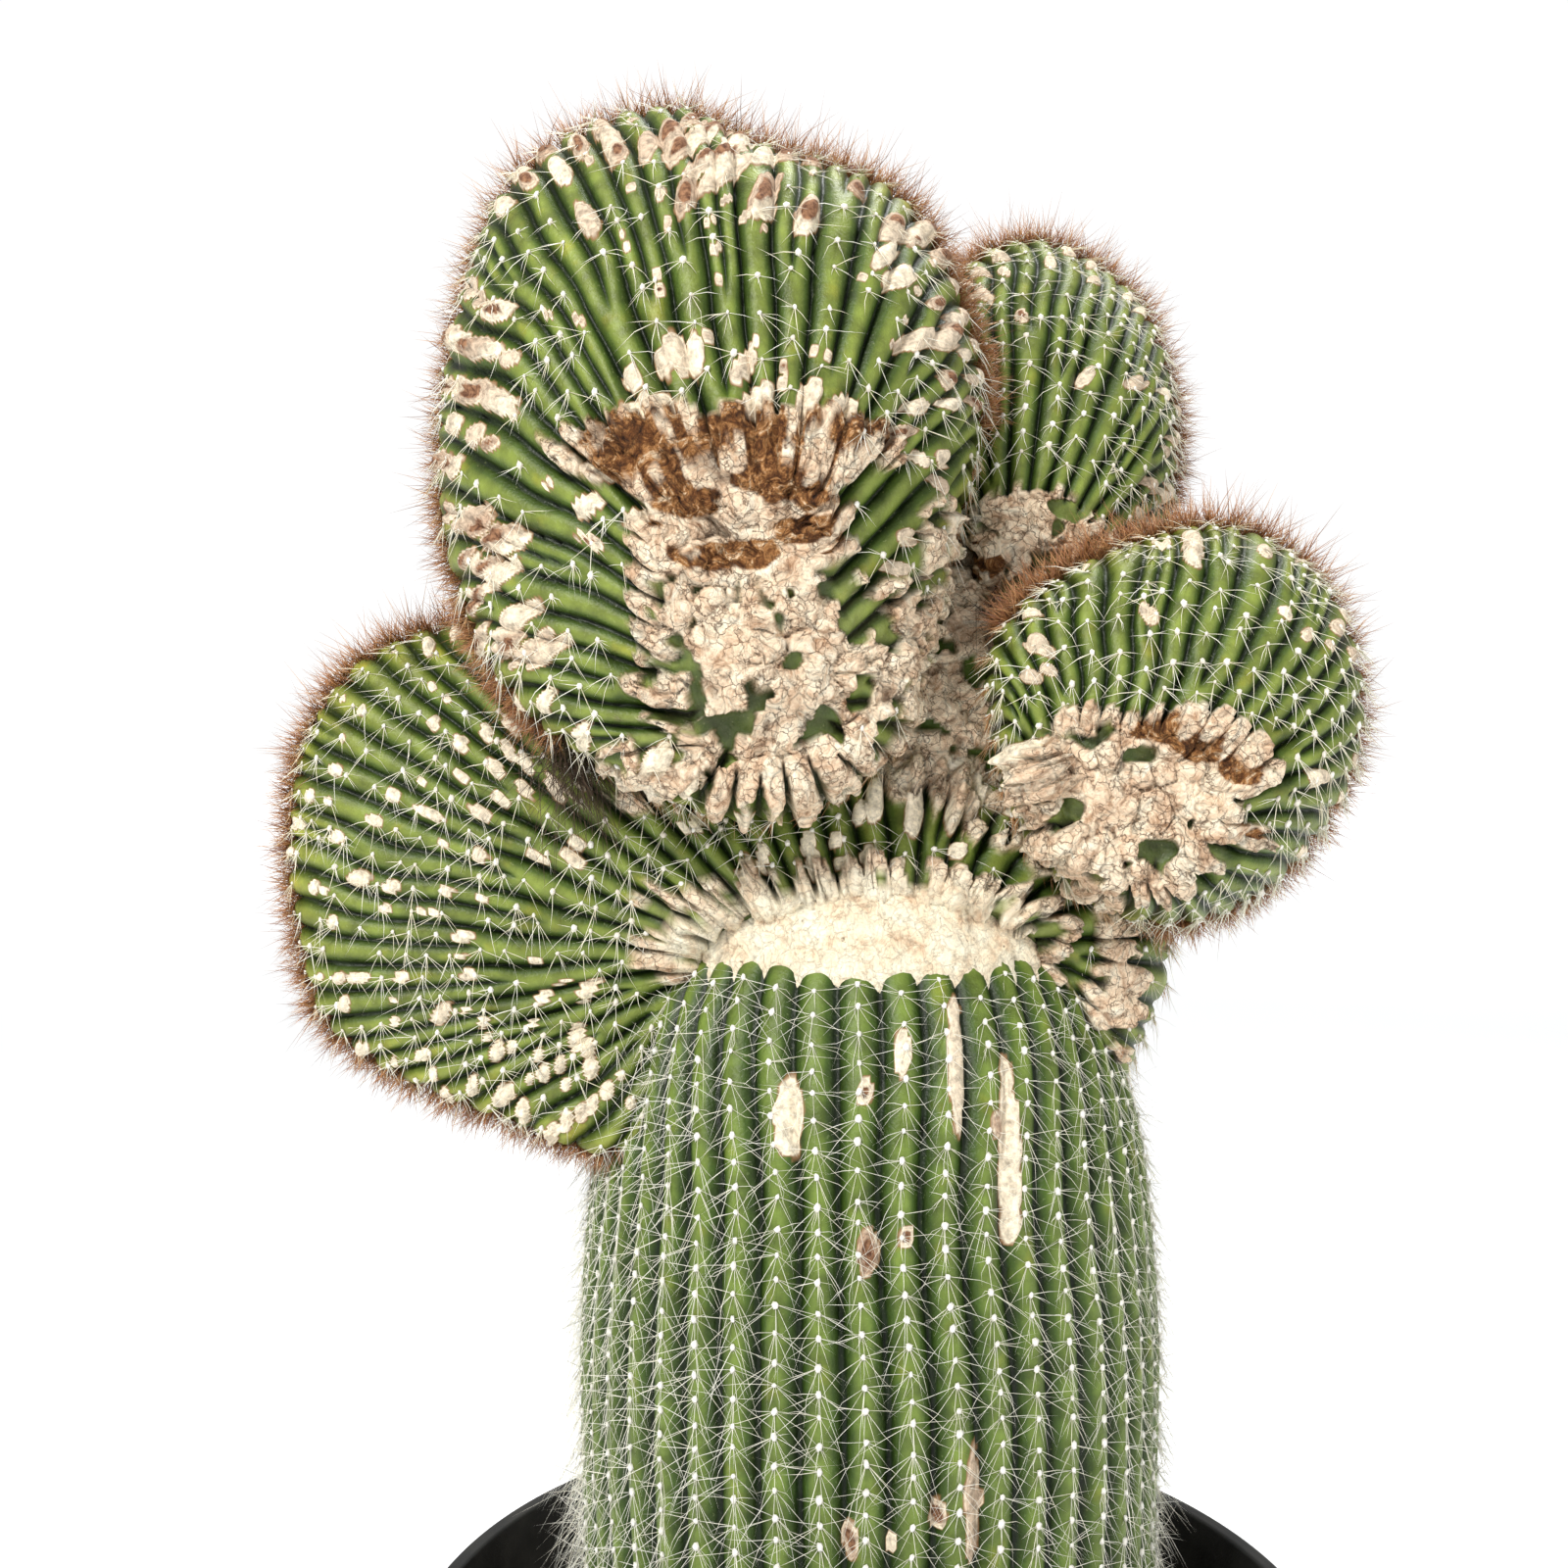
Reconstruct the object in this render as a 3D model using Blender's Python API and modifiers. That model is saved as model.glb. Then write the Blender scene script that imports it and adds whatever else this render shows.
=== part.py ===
"""Tall crested cactus in a black nursery pot, in metres with +Z up.

The origin is the centre of the pot's base. The plant is one grown body: a ribbed
column, a pale callus cap where its top was lost, and four fan-shaped crest folds
that grew from the cap. The front of the plant faces -Y.
"""
import math

import bmesh
import bpy
import numpy as np
from mathutils import Matrix, Vector

# ---- fits ----
FIT_GAP = 0.0003            # air between two pieces that rest on each other
MERGE = 0.00005

# ---- pot ----
POT_HEIGHT = 0.280
POT_RIM_RADIUS = 0.155      # outside of the rim band
POT_BASE_RADIUS = 0.118     # outside of the wall where it meets the base
POT_WALL = 0.0025
POT_FLOOR = 0.0030
POT_FOOT_ROUND = 0.004      # chamfer between the base and the wall
RIM_BAND_HEIGHT = 0.024
RIM_BAND_STEP = 0.003       # how far the band stands out from the wall
DRAIN_COUNT = 8
DRAIN_RADIUS = 0.008
DRAIN_CIRCLE = 0.078        # radius of the circle of drain holes
POT_STEPS = 60

# ---- potting mix ----
SOIL_BELOW_RIM = 0.028
SOIL_DISH = 0.003           # how much the surface dips beside the plant

# ---- column ----
COLUMN_TOP = 0.510          # height of the rib tops above the table
COLUMN_RADIUS = 0.095
COLUMN_RIBS = 47
RIB_DEPTH = 0.008
STEM_RADIUS = 0.080         # smooth foot of the stem, at the soil surface
STEM_TIP_RADIUS = 0.066     # the same foot at its lowest point
STEM_DEPTH = 0.045          # how far the foot goes down into the mix
FOOT_RISE = 0.030           # height in which the foot widens into the ribs
SHOULDER_HEIGHT = 0.095     # height in which the ribs turn in below the cap
CAP_RADIUS = 0.070
CAP_HEIGHT = 0.053

# ---- crest folds ----
CREST_SCALE = 0.001         # the fold outlines below are drawn in millimetres
GROOVE_DEPTH = 0.0032
SECTION_STEPS = 8           # facets from the front hub, round the margin, to the back hub
HEART_CENTRE = (26, 0, 78)  # corky mass where the folds grew together
HEART_RADII = (40, 44, 50)

# Each fold is a fan. Its ribs run from a hub, out over a rounded front to the growing
# margin, and back over the rear to the hub. Points are (x, y, z) from the centre of the
# column's top. "front" and "back" are how far the two faces bulge from the hub.
FOLDS = {
    "crown_fold": {
        "closed": True,
        "ribs": 44,
        "fullness": 2.5,
        "margin": [(-58, -58, 49), (-103, -56, 74), (-127, -40, 108), (-138, -28, 150),
                   (-134, -26, 197), (-119, -28, 239), (-93, -30, 260), (-63, -33, 266),
                   (-39, -38, 254), (-14, -38, 247), (8, -35, 238), (24, -32, 215),
                   (34, -28, 185), (32, -29, 158), (24, -32, 130), (16, -40, 98),
                   (4, -50, 66), (-26, -56, 46)],
        "hub": [(-34, -45, 60), (-36, -46, 98), (-36, -48, 136), (-33, -50, 149),
                (-29, -50, 152), (-25, -50, 149), (-22, -48, 134), (-22, -46, 105),
                (-25, -45, 68)],
        "front": [(0, -38, 0), (0, -52, 5), (0, -56, 4), (0, -56, 0), (0, -52, 0), (0, -40, 0)],
        "back": [(0, 60, 0), (0, 74, 0), (0, 74, 0), (0, 60, 0)],
    },
    "left_fold": {
        "closed": False,
        "ribs": 60,
        "fullness": 2.8,
        "margin": [(-63, -42, -44), (-84, -38, -61), (-120, -34, -50), (-153, -31, -37),
                   (-176, -28, -20), (-185, -25, 7), (-189, -22, 38), (-184, -20, 71),
                   (-165, -15, 97), (-134, -10, 108), (-98, -2, 106), (-65, 0, 99),
                   (-42, 0, 95), (-20, 0, 90), (4, 0, 86), (28, 0, 80),
                   (50, 0, 70), (76, 0, 50), (96, 0, 26), (100, -4, -6), (84, -12, -42)],
        "hub": [(-44, -14, -16), (-46, -16, -11), (-46, -18, -6), (-44, -20, 0),
                (-40, -22, 6), (-32, -24, 12), (-18, -26, 16), (4, -26, 18),
                (30, -26, 15), (50, -23, 8), (56, -16, -6)],
        "front": [(0, -28, 0), (0, -33, 0), (0, -35, 0), (0, -34, 0), (0, -26, 0)],
        "back": [(0, 42, 0), (0, 68, 0), (0, 76, 0), (0, 68, 0), (0, 42, 0)],
    },
    "right_fold": {
        "closed": True,
        "ribs": 36,
        "fullness": 2.5,
        "margin": [(36, -58, 74), (35, -56, 94), (50, -46, 114), (78, -40, 129),
                   (109, -36, 136), (136, -33, 124), (151, -30, 100), (153, -30, 68),
                   (142, -30, 42), (123, -32, 22), (98, -36, 12), (72, -40, 16),
                   (52, -48, 32), (41, -55, 52)],
        "hub": [(60, -43, 58), (64, -44, 62), (78, -46, 57), (95, -46, 49),
                (99, -46, 40), (90, -46, 37), (70, -44, 46)],
        "front": [(0, -28, 0), (0, -40, 0), (0, -42, 0), (0, -34, 0)],
        "back": [(0, 50, 0), (0, 60, 0), (0, 60, 0), (0, 50, 0)],
    },
    "rear_fold": {
        "closed": True,
        "ribs": 30,
        "fullness": 2.5,
        "margin": [(25, 15, 166), (26, 20, 205), (35, 25, 236), (59, 30, 249),
                   (84, 32, 240), (102, 32, 221), (110, 30, 192), (110, 28, 165),
                   (102, 25, 137), (82, 20, 113), (54, 14, 102), (32, 12, 128)],
        "hub": [(38, 4, 130), (42, 5, 137), (50, 5, 138), (57, 5, 134),
                (57, 4, 126), (45, 4, 122)],
        "front": [(0, -30, 0), (0, -40, 0), (0, -40, 0), (0, -32, 0)],
        "back": [(0, 44, 0), (0, 54, 0), (0, 54, 0), (0, 44, 0)],
    },
}


def clear_scene():
    for old in list(bpy.data.objects):
        bpy.data.objects.remove(old)


def new_collection(name):
    collection = bpy.data.collections.new(name)
    bpy.context.scene.collection.children.link(collection)
    return collection


def new_material(name, colour, roughness, metallic=0.0):
    material = bpy.data.materials.new(name)
    material.use_nodes = True
    shader = material.node_tree.nodes["Principled BSDF"]
    shader.inputs["Base Color"].default_value = (*colour, 1.0)
    shader.inputs["Roughness"].default_value = roughness
    shader.inputs["Metallic"].default_value = metallic
    material.diffuse_color = (*colour, 1.0)
    return material


def new_object(name, mesh, collection, material=None):
    thing = bpy.data.objects.new(name, mesh)
    if material:
        mesh.materials.append(material)
    collection.objects.link(thing)
    return thing


def as_helper(thing):
    """A solid that only shapes another one."""
    thing.hide_render = True
    thing.display_type = "WIRE"
    return thing


def turned(name, profile, collection, material):
    """Turn a profile of (radius, height) points about +Z; it starts and ends on the axis."""
    mesh = bpy.data.meshes.new(name)
    points = [(radius, 0.0, height) for radius, height in profile]
    edges = [(i, i + 1) for i in range(len(points) - 1)]
    mesh.from_pydata(points, edges, [])
    thing = new_object(name, mesh, collection, material)
    screw = thing.modifiers.new("turn", "SCREW")
    screw.axis = "Z"
    screw.steps = POT_STEPS
    screw.render_steps = POT_STEPS
    screw.use_merge_vertices = True
    screw.merge_threshold = MERGE
    screw.use_smooth_shade = True
    return thing


# ---- pot and mix ----

def wall_radius(height):
    """Outside of the tapered wall, without the rim band."""
    top = POT_RIM_RADIUS - RIM_BAND_STEP
    return POT_BASE_RADIUS + (top - POT_BASE_RADIUS) * height / POT_HEIGHT


def inner_radius(height):
    return wall_radius(height) - POT_WALL


def rim_arc(count=4):
    """Half-round lip between the inner wall and the outside of the band."""
    inside = inner_radius(POT_HEIGHT)
    half = (POT_RIM_RADIUS - inside) / 2
    for i in range(count + 1):
        angle = math.pi * (1 - i / count)
        yield inside + half + half * math.cos(angle), POT_HEIGHT - half + half * math.sin(angle)


def make_pot(collection, material):
    band_foot = POT_HEIGHT - RIM_BAND_HEIGHT
    profile = [(0.0, POT_FLOOR), (inner_radius(POT_FLOOR), POT_FLOOR)]
    profile += rim_arc()
    profile += [(POT_RIM_RADIUS, band_foot),
                (wall_radius(band_foot - RIM_BAND_STEP), band_foot - RIM_BAND_STEP),
                (wall_radius(POT_FOOT_ROUND), POT_FOOT_ROUND),
                (POT_BASE_RADIUS - POT_FOOT_ROUND, 0.0),
                (0.0, 0.0)]
    return turned("pot", profile, collection, material)


def cut_drain_holes(pot, helpers):
    for i in range(DRAIN_COUNT):
        angle = 2 * math.pi * (i + 0.5) / DRAIN_COUNT
        place = (DRAIN_CIRCLE * math.cos(angle), DRAIN_CIRCLE * math.sin(angle), POT_FLOOR / 2)
        bpy.ops.mesh.primitive_cylinder_add(vertices=16, radius=DRAIN_RADIUS,
                                            depth=POT_FLOOR * 3, location=place)
        drill = as_helper(bpy.context.object)
        drill.name = "drain_drill_%d" % (i + 1)
        for owner in list(drill.users_collection):
            owner.objects.unlink(drill)
        helpers.objects.link(drill)
        cut = pot.modifiers.new("drain_%d" % (i + 1), "BOOLEAN")
        cut.operation = "DIFFERENCE"
        cut.solver = "EXACT"
        cut.object = drill


def soil_level():
    return POT_HEIGHT - SOIL_BELOW_RIM


def stem_bottom():
    return soil_level() - STEM_DEPTH


def make_potting_mix(collection, material):
    """The mix fills the pot and holds the foot of the stem in a socket of its own shape."""
    roundness = math.cos(math.pi / POT_STEPS)
    socket_foot = (STEM_TIP_RADIUS + FIT_GAP) / roundness
    socket_mouth = (STEM_RADIUS + FIT_GAP) / roundness
    floor = POT_FLOOR + FIT_GAP
    edge = inner_radius(soil_level()) - FIT_GAP
    profile = [(0.0, stem_bottom() - FIT_GAP),
               (socket_foot, stem_bottom() - FIT_GAP),
               (socket_mouth, soil_level() - SOIL_DISH),
               ((socket_mouth + edge) / 2, soil_level() - SOIL_DISH / 3),
               (edge - SOIL_DISH, soil_level()),
               (edge, soil_level() - SOIL_DISH),
               (inner_radius(floor) - FIT_GAP, floor),
               (0.0, floor)]
    return turned("potting_mix", profile, collection, material)


# ---- plant ----

def mesh_from_faces(name, points, faces):
    """Mesh of one closed surface, faces turned outwards."""
    work = bmesh.new()
    verts = [work.verts.new(p) for p in points]
    for face in faces:
        work.faces.new([verts[i] for i in face])
    bmesh.ops.recalc_face_normals(work, faces=work.faces[:])
    mesh = bpy.data.meshes.new(name)
    work.to_mesh(mesh)
    work.free()
    mesh.shade_smooth()
    return mesh


def loft_faces(rows, columns, wrap_rows):
    """Quads over a grid whose columns always close on themselves."""
    faces = []
    for i in range(rows if wrap_rows else rows - 1):
        for j in range(columns):
            here, there, after = i * columns, (i + 1) % rows * columns, (j + 1) % columns
            faces.append((here + j, here + after, there + after, there + j))
    return faces


def fan_faces(ring, hub):
    return [(ring[i], ring[(i + 1) % len(ring)], hub) for i in range(len(ring))]


def column_rings():
    """(height, radius, rib depth) from the foot of the stem to the cap."""
    soil = soil_level()
    top = COLUMN_TOP
    side = COLUMN_RADIUS
    turn = SHOULDER_HEIGHT
    return [(stem_bottom(), STEM_TIP_RADIUS, 0.0),
            (soil - SOIL_DISH, STEM_RADIUS, 0.0),
            (soil + FOOT_RISE * 0.2, STEM_RADIUS * 0.4 + side * 0.6, RIB_DEPTH * 0.5),
            (soil + FOOT_RISE, side, RIB_DEPTH),
            (top - turn, side, RIB_DEPTH),
            (top - turn * 0.60, side * 0.80 + CAP_RADIUS * 0.20, RIB_DEPTH),
            (top - turn * 0.33, side * 0.49 + CAP_RADIUS * 0.51, RIB_DEPTH * 0.7),
            (top - turn * 0.20, side * 0.27 + CAP_RADIUS * 0.73, 0.0),
            (top, CAP_RADIUS * 0.97, 0.0),
            (top + CAP_HEIGHT * 0.34, CAP_RADIUS * 0.90, 0.0),
            (top + CAP_HEIGHT * 0.75, CAP_RADIUS * 0.68, 0.0)]


def column_mesh():
    """Ribbed column: four points a rib, one in the groove and three over the ridge."""
    groove_share = (1.0, 0.3, 0.0, 0.3)
    count = COLUMN_RIBS * len(groove_share)
    rings = column_rings()
    points = []
    for height, radius, depth in rings:
        for i in range(count):
            angle = 2 * math.pi * i / count
            here = radius - depth * groove_share[i % len(groove_share)]
            points.append((here * math.cos(angle), here * math.sin(angle), height))
    foot, apex = len(points), len(points) + 1
    points += [(0.0, 0.0, stem_bottom()), (0.0, 0.0, COLUMN_TOP + CAP_HEIGHT)]
    faces = loft_faces(len(rings), count, False)
    faces += fan_faces(list(range(count)), foot)
    faces += fan_faces([(len(rings) - 1) * count + i for i in range(count)], apex)
    return mesh_from_faces("cactus", points, faces)


def spline(control, share, closed):
    """Catmull-Rom curve through control points spaced evenly over share 0 to 1."""
    control = np.asarray(control, float) * CREST_SCALE
    count = len(control)
    along = np.asarray(share) * (count if closed else count - 1)
    first = np.floor(along).astype(int) if closed else np.minimum(along.astype(int), count - 2)
    t = (along - first)[:, None]

    def point(index):
        return control[index % count] if closed else control[np.clip(index, 0, count - 1)]

    a, b, c, d = (point(first + k) for k in (-1, 0, 1, 2))
    return 0.5 * (2 * b + (c - a) * t + (2 * a - 5 * b + 4 * c - d) * t ** 2
                  + (3 * b - a - 3 * c + d) * t ** 3)


def fold_grid(fold, share, turn):
    """Smooth surface: share runs along the margin, turn is 0 front hub, 1 margin, 2 back hub."""
    closed = fold["closed"]
    margin, hub, front, back = (spline(fold[key], share, closed)[:, None, :]
                                for key in ("margin", "hub", "front", "back"))
    angle = np.asarray(turn)[None, :, None] * math.pi / 2
    reach = np.abs(np.sin(angle)) ** (2 / fold["fullness"])
    bulge = np.abs(np.cos(angle)) ** (2 / fold["fullness"])
    face = np.where(angle <= math.pi / 2, front, back)
    return hub + (margin - hub) * reach + face * bulge + np.array([0.0, 0.0, COLUMN_TOP])


def fold_mesh(name, fold):
    """Closed solid of one crest fold, with a ridge and a groove for each rib."""
    closed = fold["closed"]
    rows = fold["ribs"] * 2
    share = np.arange(rows) / (rows if closed else rows - 1)
    turn = np.linspace(0.0, 2.0, SECTION_STEPS + 1)
    grid = fold_grid(fold, share, turn)
    middle = grid[:, :1] * 0.5 + grid[:, -1:] * 0.5
    inward = middle - grid
    inward /= np.linalg.norm(inward, axis=2, keepdims=True)
    depth = GROOVE_DEPTH * np.sin(np.pi * np.abs(turn - 1.0) ** 0.8) + GROOVE_DEPTH * 0.2
    depth[[0, -1]] = 0.0
    groove = (np.arange(rows) % 2)[:, None] * depth[None, :]
    if not closed:
        groove[[0, -1]] = 0.0
    grid = grid + inward * groove[:, :, None]
    points = [tuple(p) for p in grid.reshape(-1, 3)]
    columns = len(turn)
    if closed:
        # the hub is a small patch on the front and on the back
        faces = [(i * columns + j, i * columns + j + 1,
                  (i + 1) % rows * columns + j + 1, (i + 1) % rows * columns + j)
                 for i in range(rows) for j in range(columns - 1)]
        ends = [[i * columns + j for i in range(rows)] for j in (0, columns - 1)]
    else:
        # the hub is a wall through the plant, and the first and last sections are caps
        faces = loft_faces(rows, columns, False)
        ends = [[i * columns + j for j in range(columns)] for i in (0, rows - 1)]
    for ring in ends:
        points.append(tuple(np.mean([points[i] for i in ring], axis=0)))
        faces += fan_faces(ring, len(points) - 1)
    return mesh_from_faces(name, points, faces)


def heart_mesh():
    work = bmesh.new()
    place = Matrix.Translation(Vector(HEART_CENTRE) * CREST_SCALE + Vector((0, 0, COLUMN_TOP)))
    size = Matrix.Diagonal((*(Vector(HEART_RADII) * CREST_SCALE), 1.0))
    bmesh.ops.create_uvsphere(work, u_segments=26, v_segments=14, radius=1.0,
                              matrix=place @ size)
    mesh = bpy.data.meshes.new("heart")
    work.to_mesh(mesh)
    work.free()
    return mesh


def make_cactus(collection, helpers, material):
    cactus = new_object("cactus", column_mesh(), collection, material)
    pieces = {name: fold_mesh(name, fold) for name, fold in FOLDS.items()}
    pieces["heart"] = heart_mesh()
    for name, mesh in pieces.items():
        grown = as_helper(new_object(name, mesh, helpers))
        join = cactus.modifiers.new(name, "BOOLEAN")
        join.operation = "UNION"
        join.solver = "EXACT"
        join.object = grown
    return cactus


def main():
    clear_scene()
    parts = new_collection("potted_cactus")
    helpers = new_collection("potted_cactus_helpers")
    black_plastic = new_material("black_plastic", (0.012, 0.012, 0.013), 0.62)
    dark_mix = new_material("potting_mix", (0.045, 0.028, 0.018), 0.95)
    green_skin = new_material("cactus_skin", (0.085, 0.170, 0.030), 0.50)
    pot = make_pot(parts, black_plastic)
    cut_drain_holes(pot, helpers)
    make_potting_mix(parts, dark_mix)
    make_cactus(parts, helpers, green_skin)


main()
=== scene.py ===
import math

import bmesh
import bpy
import numpy as np
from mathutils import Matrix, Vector


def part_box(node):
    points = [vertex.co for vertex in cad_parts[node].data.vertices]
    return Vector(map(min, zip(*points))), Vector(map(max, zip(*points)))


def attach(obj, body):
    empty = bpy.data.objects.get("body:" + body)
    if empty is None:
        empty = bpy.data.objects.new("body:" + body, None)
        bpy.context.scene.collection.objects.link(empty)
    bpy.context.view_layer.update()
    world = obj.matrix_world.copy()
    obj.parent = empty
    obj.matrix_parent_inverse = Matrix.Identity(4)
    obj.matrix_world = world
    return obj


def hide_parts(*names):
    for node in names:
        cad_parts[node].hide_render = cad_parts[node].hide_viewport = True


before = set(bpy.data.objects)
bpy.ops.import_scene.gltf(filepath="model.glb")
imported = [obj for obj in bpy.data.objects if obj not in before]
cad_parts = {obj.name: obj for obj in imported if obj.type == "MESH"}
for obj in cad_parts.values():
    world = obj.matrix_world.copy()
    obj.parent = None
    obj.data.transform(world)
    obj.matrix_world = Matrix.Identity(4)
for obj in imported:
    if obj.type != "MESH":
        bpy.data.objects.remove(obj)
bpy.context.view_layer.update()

MM = 0.001
PLANT_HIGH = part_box("cactus")[1]
POT_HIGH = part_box("pot")[1]
MIX_LOW, MIX_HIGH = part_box("potting_mix")

# ---- column, in millimetres from the centre of its top ----
CREST_RISE = 266.1                            # column top to crown top
COLUMN_TOP = PLANT_HIGH.z / MM - CREST_RISE
COLUMN_RADIUS = PLANT_HIGH.y / MM
COLUMN_RIBS = 47
COLUMN_FOOT = MIX_HIGH.z / MM - COLUMN_TOP - 10.0
COLUMN_SWAY = 0.36                            # how far a rib strays, in rib widths
CAP_RADIUS = 70.0
CAP_HEIGHT = 45.0                             # the part that shows between the folds
CAP_FOOT = -9.0
RIB_RELIEF = 6.2                              # groove bottom to ridge
RIB_END = 9.0                                 # length of a rib's rounded end
RIB_LEVEL = 2.4                               # where the closed top of the column lies
RIB_SAMPLES = 12
RIB_SPREAD = 0.34                             # widening of front ribs at the column's top
AREOLE_SPACING = 7.3
NEEDLES = 8                                   # from each areole

# ---- crest folds ----
# Outlines are (x, y, z) and follow the solids. A hub is where the ribs end under cork, and a
# closed fold's hub is drawn in to its core line. Front and back are the fold's depths. The
# ribs are counted round the margin; they join where they would be thinner than rib_width.
# Fullness 2 is an elliptic section. Samples are points across a rib, spacing is between
# areoles, armour is the share of areoles kept, brush is the stretch of young needles.
FOLDS = {
    "crown_fold": {
        "closed": True, "ribs": 56, "rib_width": 9.0, "fullness": 2.4, "samples": 11,
        "spacing": 11.5, "brush": (0.045, 0.70), "armour": 0.72,
        "core": [(-34, -45, 84), (-40, -49, 120)],
        "margin": [(-58, -58, 49), (-103, -56, 74), (-127, -40, 108), (-138, -28, 150),
                   (-134, -26, 197), (-119, -28, 239), (-93, -30, 260), (-63, -33, 266),
                   (-39, -38, 254), (-14, -38, 247), (8, -35, 238), (24, -32, 215),
                   (34, -28, 185), (32, -29, 158), (24, -32, 130), (16, -40, 98),
                   (4, -50, 66), (-26, -56, 46)],
        "hub": [(-46, -45, 62), (-59, -46, 82), (-64, -47, 124), (-50, -49, 137),
                (-33, -50, 140), (-20, -50, 137), (-17, -48, 122), (-10, -46, 98),
                (-12, -45, 72)],
        "front": [(0, -38, 0), (0, -52, 5), (0, -56, 4), (0, -56, 0), (0, -52, 0), (0, -40, 0)],
        "back": [(0, 60, 0), (0, 74, 0), (0, 74, 0), (0, 60, 0)],
    },
    "left_fold": {
        "closed": False, "ribs": 60, "rib_width": 8.2, "fullness": 2.8, "samples": 12,
        "spacing": 8.4, "brush": (0.02, 0.52), "armour": 0.85,
        "margin": [(-63, -42, -44), (-84, -38, -61), (-120, -34, -50), (-153, -31, -37),
                   (-176, -28, -20), (-185, -25, 7), (-189, -22, 38), (-184, -20, 71),
                   (-165, -15, 97), (-134, -10, 108), (-98, -2, 106), (-65, 0, 99),
                   (-42, 0, 95), (-20, 0, 90), (4, 0, 86), (28, 0, 80),
                   (50, 0, 70), (76, 0, 50), (96, 0, 26), (100, -4, -6), (84, -12, -42)],
        "hub": [(-54, -13, -14), (-57, -14, -9), (-58, -16, -3), (-55, -18, 4),
                (-47, -21, 11), (-34, -24, 17), (-18, -26, 20), (4, -26, 22),
                (26, -26, 19), (46, -22, 11), (55, -14, -4)],
        "front": [(0, -18, 0), (0, -24, 0), (0, -33, 0), (0, -34, 0), (0, -26, 0)],
        "back": [(0, 42, 0), (0, 68, 0), (0, 76, 0), (0, 68, 0), (0, 42, 0)],
    },
    "right_fold": {
        "closed": True, "ribs": 36, "rib_width": 7.6, "fullness": 2.4, "samples": 14,
        "spacing": 9.0, "brush": (0.10, 0.74), "armour": 1.0,
        "core": [(62, -44, 53), (88, -46, 51)],
        "margin": [(36, -58, 74), (35, -56, 94), (50, -46, 114), (78, -40, 129),
                   (109, -36, 136), (136, -33, 124), (151, -30, 100), (153, -30, 68),
                   (142, -30, 42), (123, -32, 22), (98, -36, 12), (72, -40, 16),
                   (52, -48, 32), (41, -55, 52)],
        "hub": [(47, -46, 62), (54, -45, 69), (81, -45, 72), (102, -45, 58),
                (95, -46, 43), (80, -46, 30), (59, -47, 38)],
        "front": [(0, -28, 0), (0, -40, 0), (0, -42, 0), (0, -34, 0)],
        "back": [(0, 50, 0), (0, 60, 0), (0, 60, 0), (0, 50, 0)],
    },
    "rear_fold": {
        "closed": True, "ribs": 36, "rib_width": 7.8, "fullness": 2.4, "samples": 12,
        "spacing": 9.0, "brush": (0.0, 0.74), "armour": 0.9,
        "core": [(43, 4, 131), (60, 4, 132)],
        "margin": [(25, 15, 166), (26, 20, 205), (35, 25, 236), (59, 30, 249),
                   (84, 32, 240), (102, 32, 221), (110, 30, 192), (110, 28, 165),
                   (102, 25, 137), (82, 20, 113), (54, 14, 102), (32, 12, 128)],
        "hub": [(35, 4, 134), (38, 5, 146), (56, 5, 149), (69, 5, 139),
                (65, 4, 121), (46, 4, 114)],
        "front": [(0, -30, 0), (0, -40, 0), (0, -40, 0), (0, -32, 0)],
        "back": [(0, 44, 0), (0, 54, 0), (0, 54, 0), (0, 44, 0)],
    },
}
FOLD_WOBBLE = 0.7                             # how far a rib strays, in rib widths
FOLD_GROOVE = 0.46                            # depth of a groove, in rib widths
FOLD_DEEPEST = 5.6                            # and at most
BACK_HUB = 0.45                               # the hubs at the back are smaller
CAP_LIP = (0.0, 16.0, -9.0)                   # the left fold's edge curls in over the cap
SLOPE_SHARE, SLOPE_TURN = 0.0012, 0.008       # small steps over which slopes are measured
HEART_CENTRE = (26, 0, 78)                    # corky mass where the folds grew together
HEART_RADII = (41, 45, 51)

# Corky patches as ellipses seen from the front: (x, z, half width, half height).
CORK_PATCHES = {
    "crown_fold": [(-24, 76, 40, 29), (-38, 112, 24, 30), (-60, 147, 32, 10), (-22, 148, 24, 9),
                   (-53, 100, 16, 20), (-62, 60, 18, 8), (4, 90, 22, 22), (20, 118, 9, 20)],
    "left_fold": [(-28, 68, 42, 18), (10, 68, 34, 17), (33, 58, 19, 18), (62, 42, 21, 16),
                  (76, 14, 8, 18), (77, -15, 10, 20), (-2, 8, 60, 17), (-84, 52, 12, 6)],
    "right_fold": [(58, 52, 22, 20), (72, 38, 22, 16), (60, 30, 22, 15), (88, 66, 17, 8),
                   (102, 58, 14, 6), (104, 40, 10, 5)],
    "rear_fold": [(48, 118, 30, 18), (36, 108, 20, 14)],
}
RUST_PATCHES = {
    "crown_fold": [(-68, 151, 22, 16), (-42, 152, 20, 11), (-10, 156, 18, 11),
                   (-56, 133, 19, 9), (-30, 137, 17, 7), (-44, 119, 22, 5), (-20, 125, 14, 5)],
    "left_fold": [(84, 30, 6, 8)],
    "right_fold": [(80, 71, 7, 4), (90, 65, 8, 4), (100, 58, 7, 5), (107, 42, 5, 4)],
    "rear_fold": [(36, 124, 5, 10)],
}
PALE_PATCHES = [(-2, 12, 58, 17), (-52, 6, 18, 10)]   # on the left fold, next to the callus cap

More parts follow.
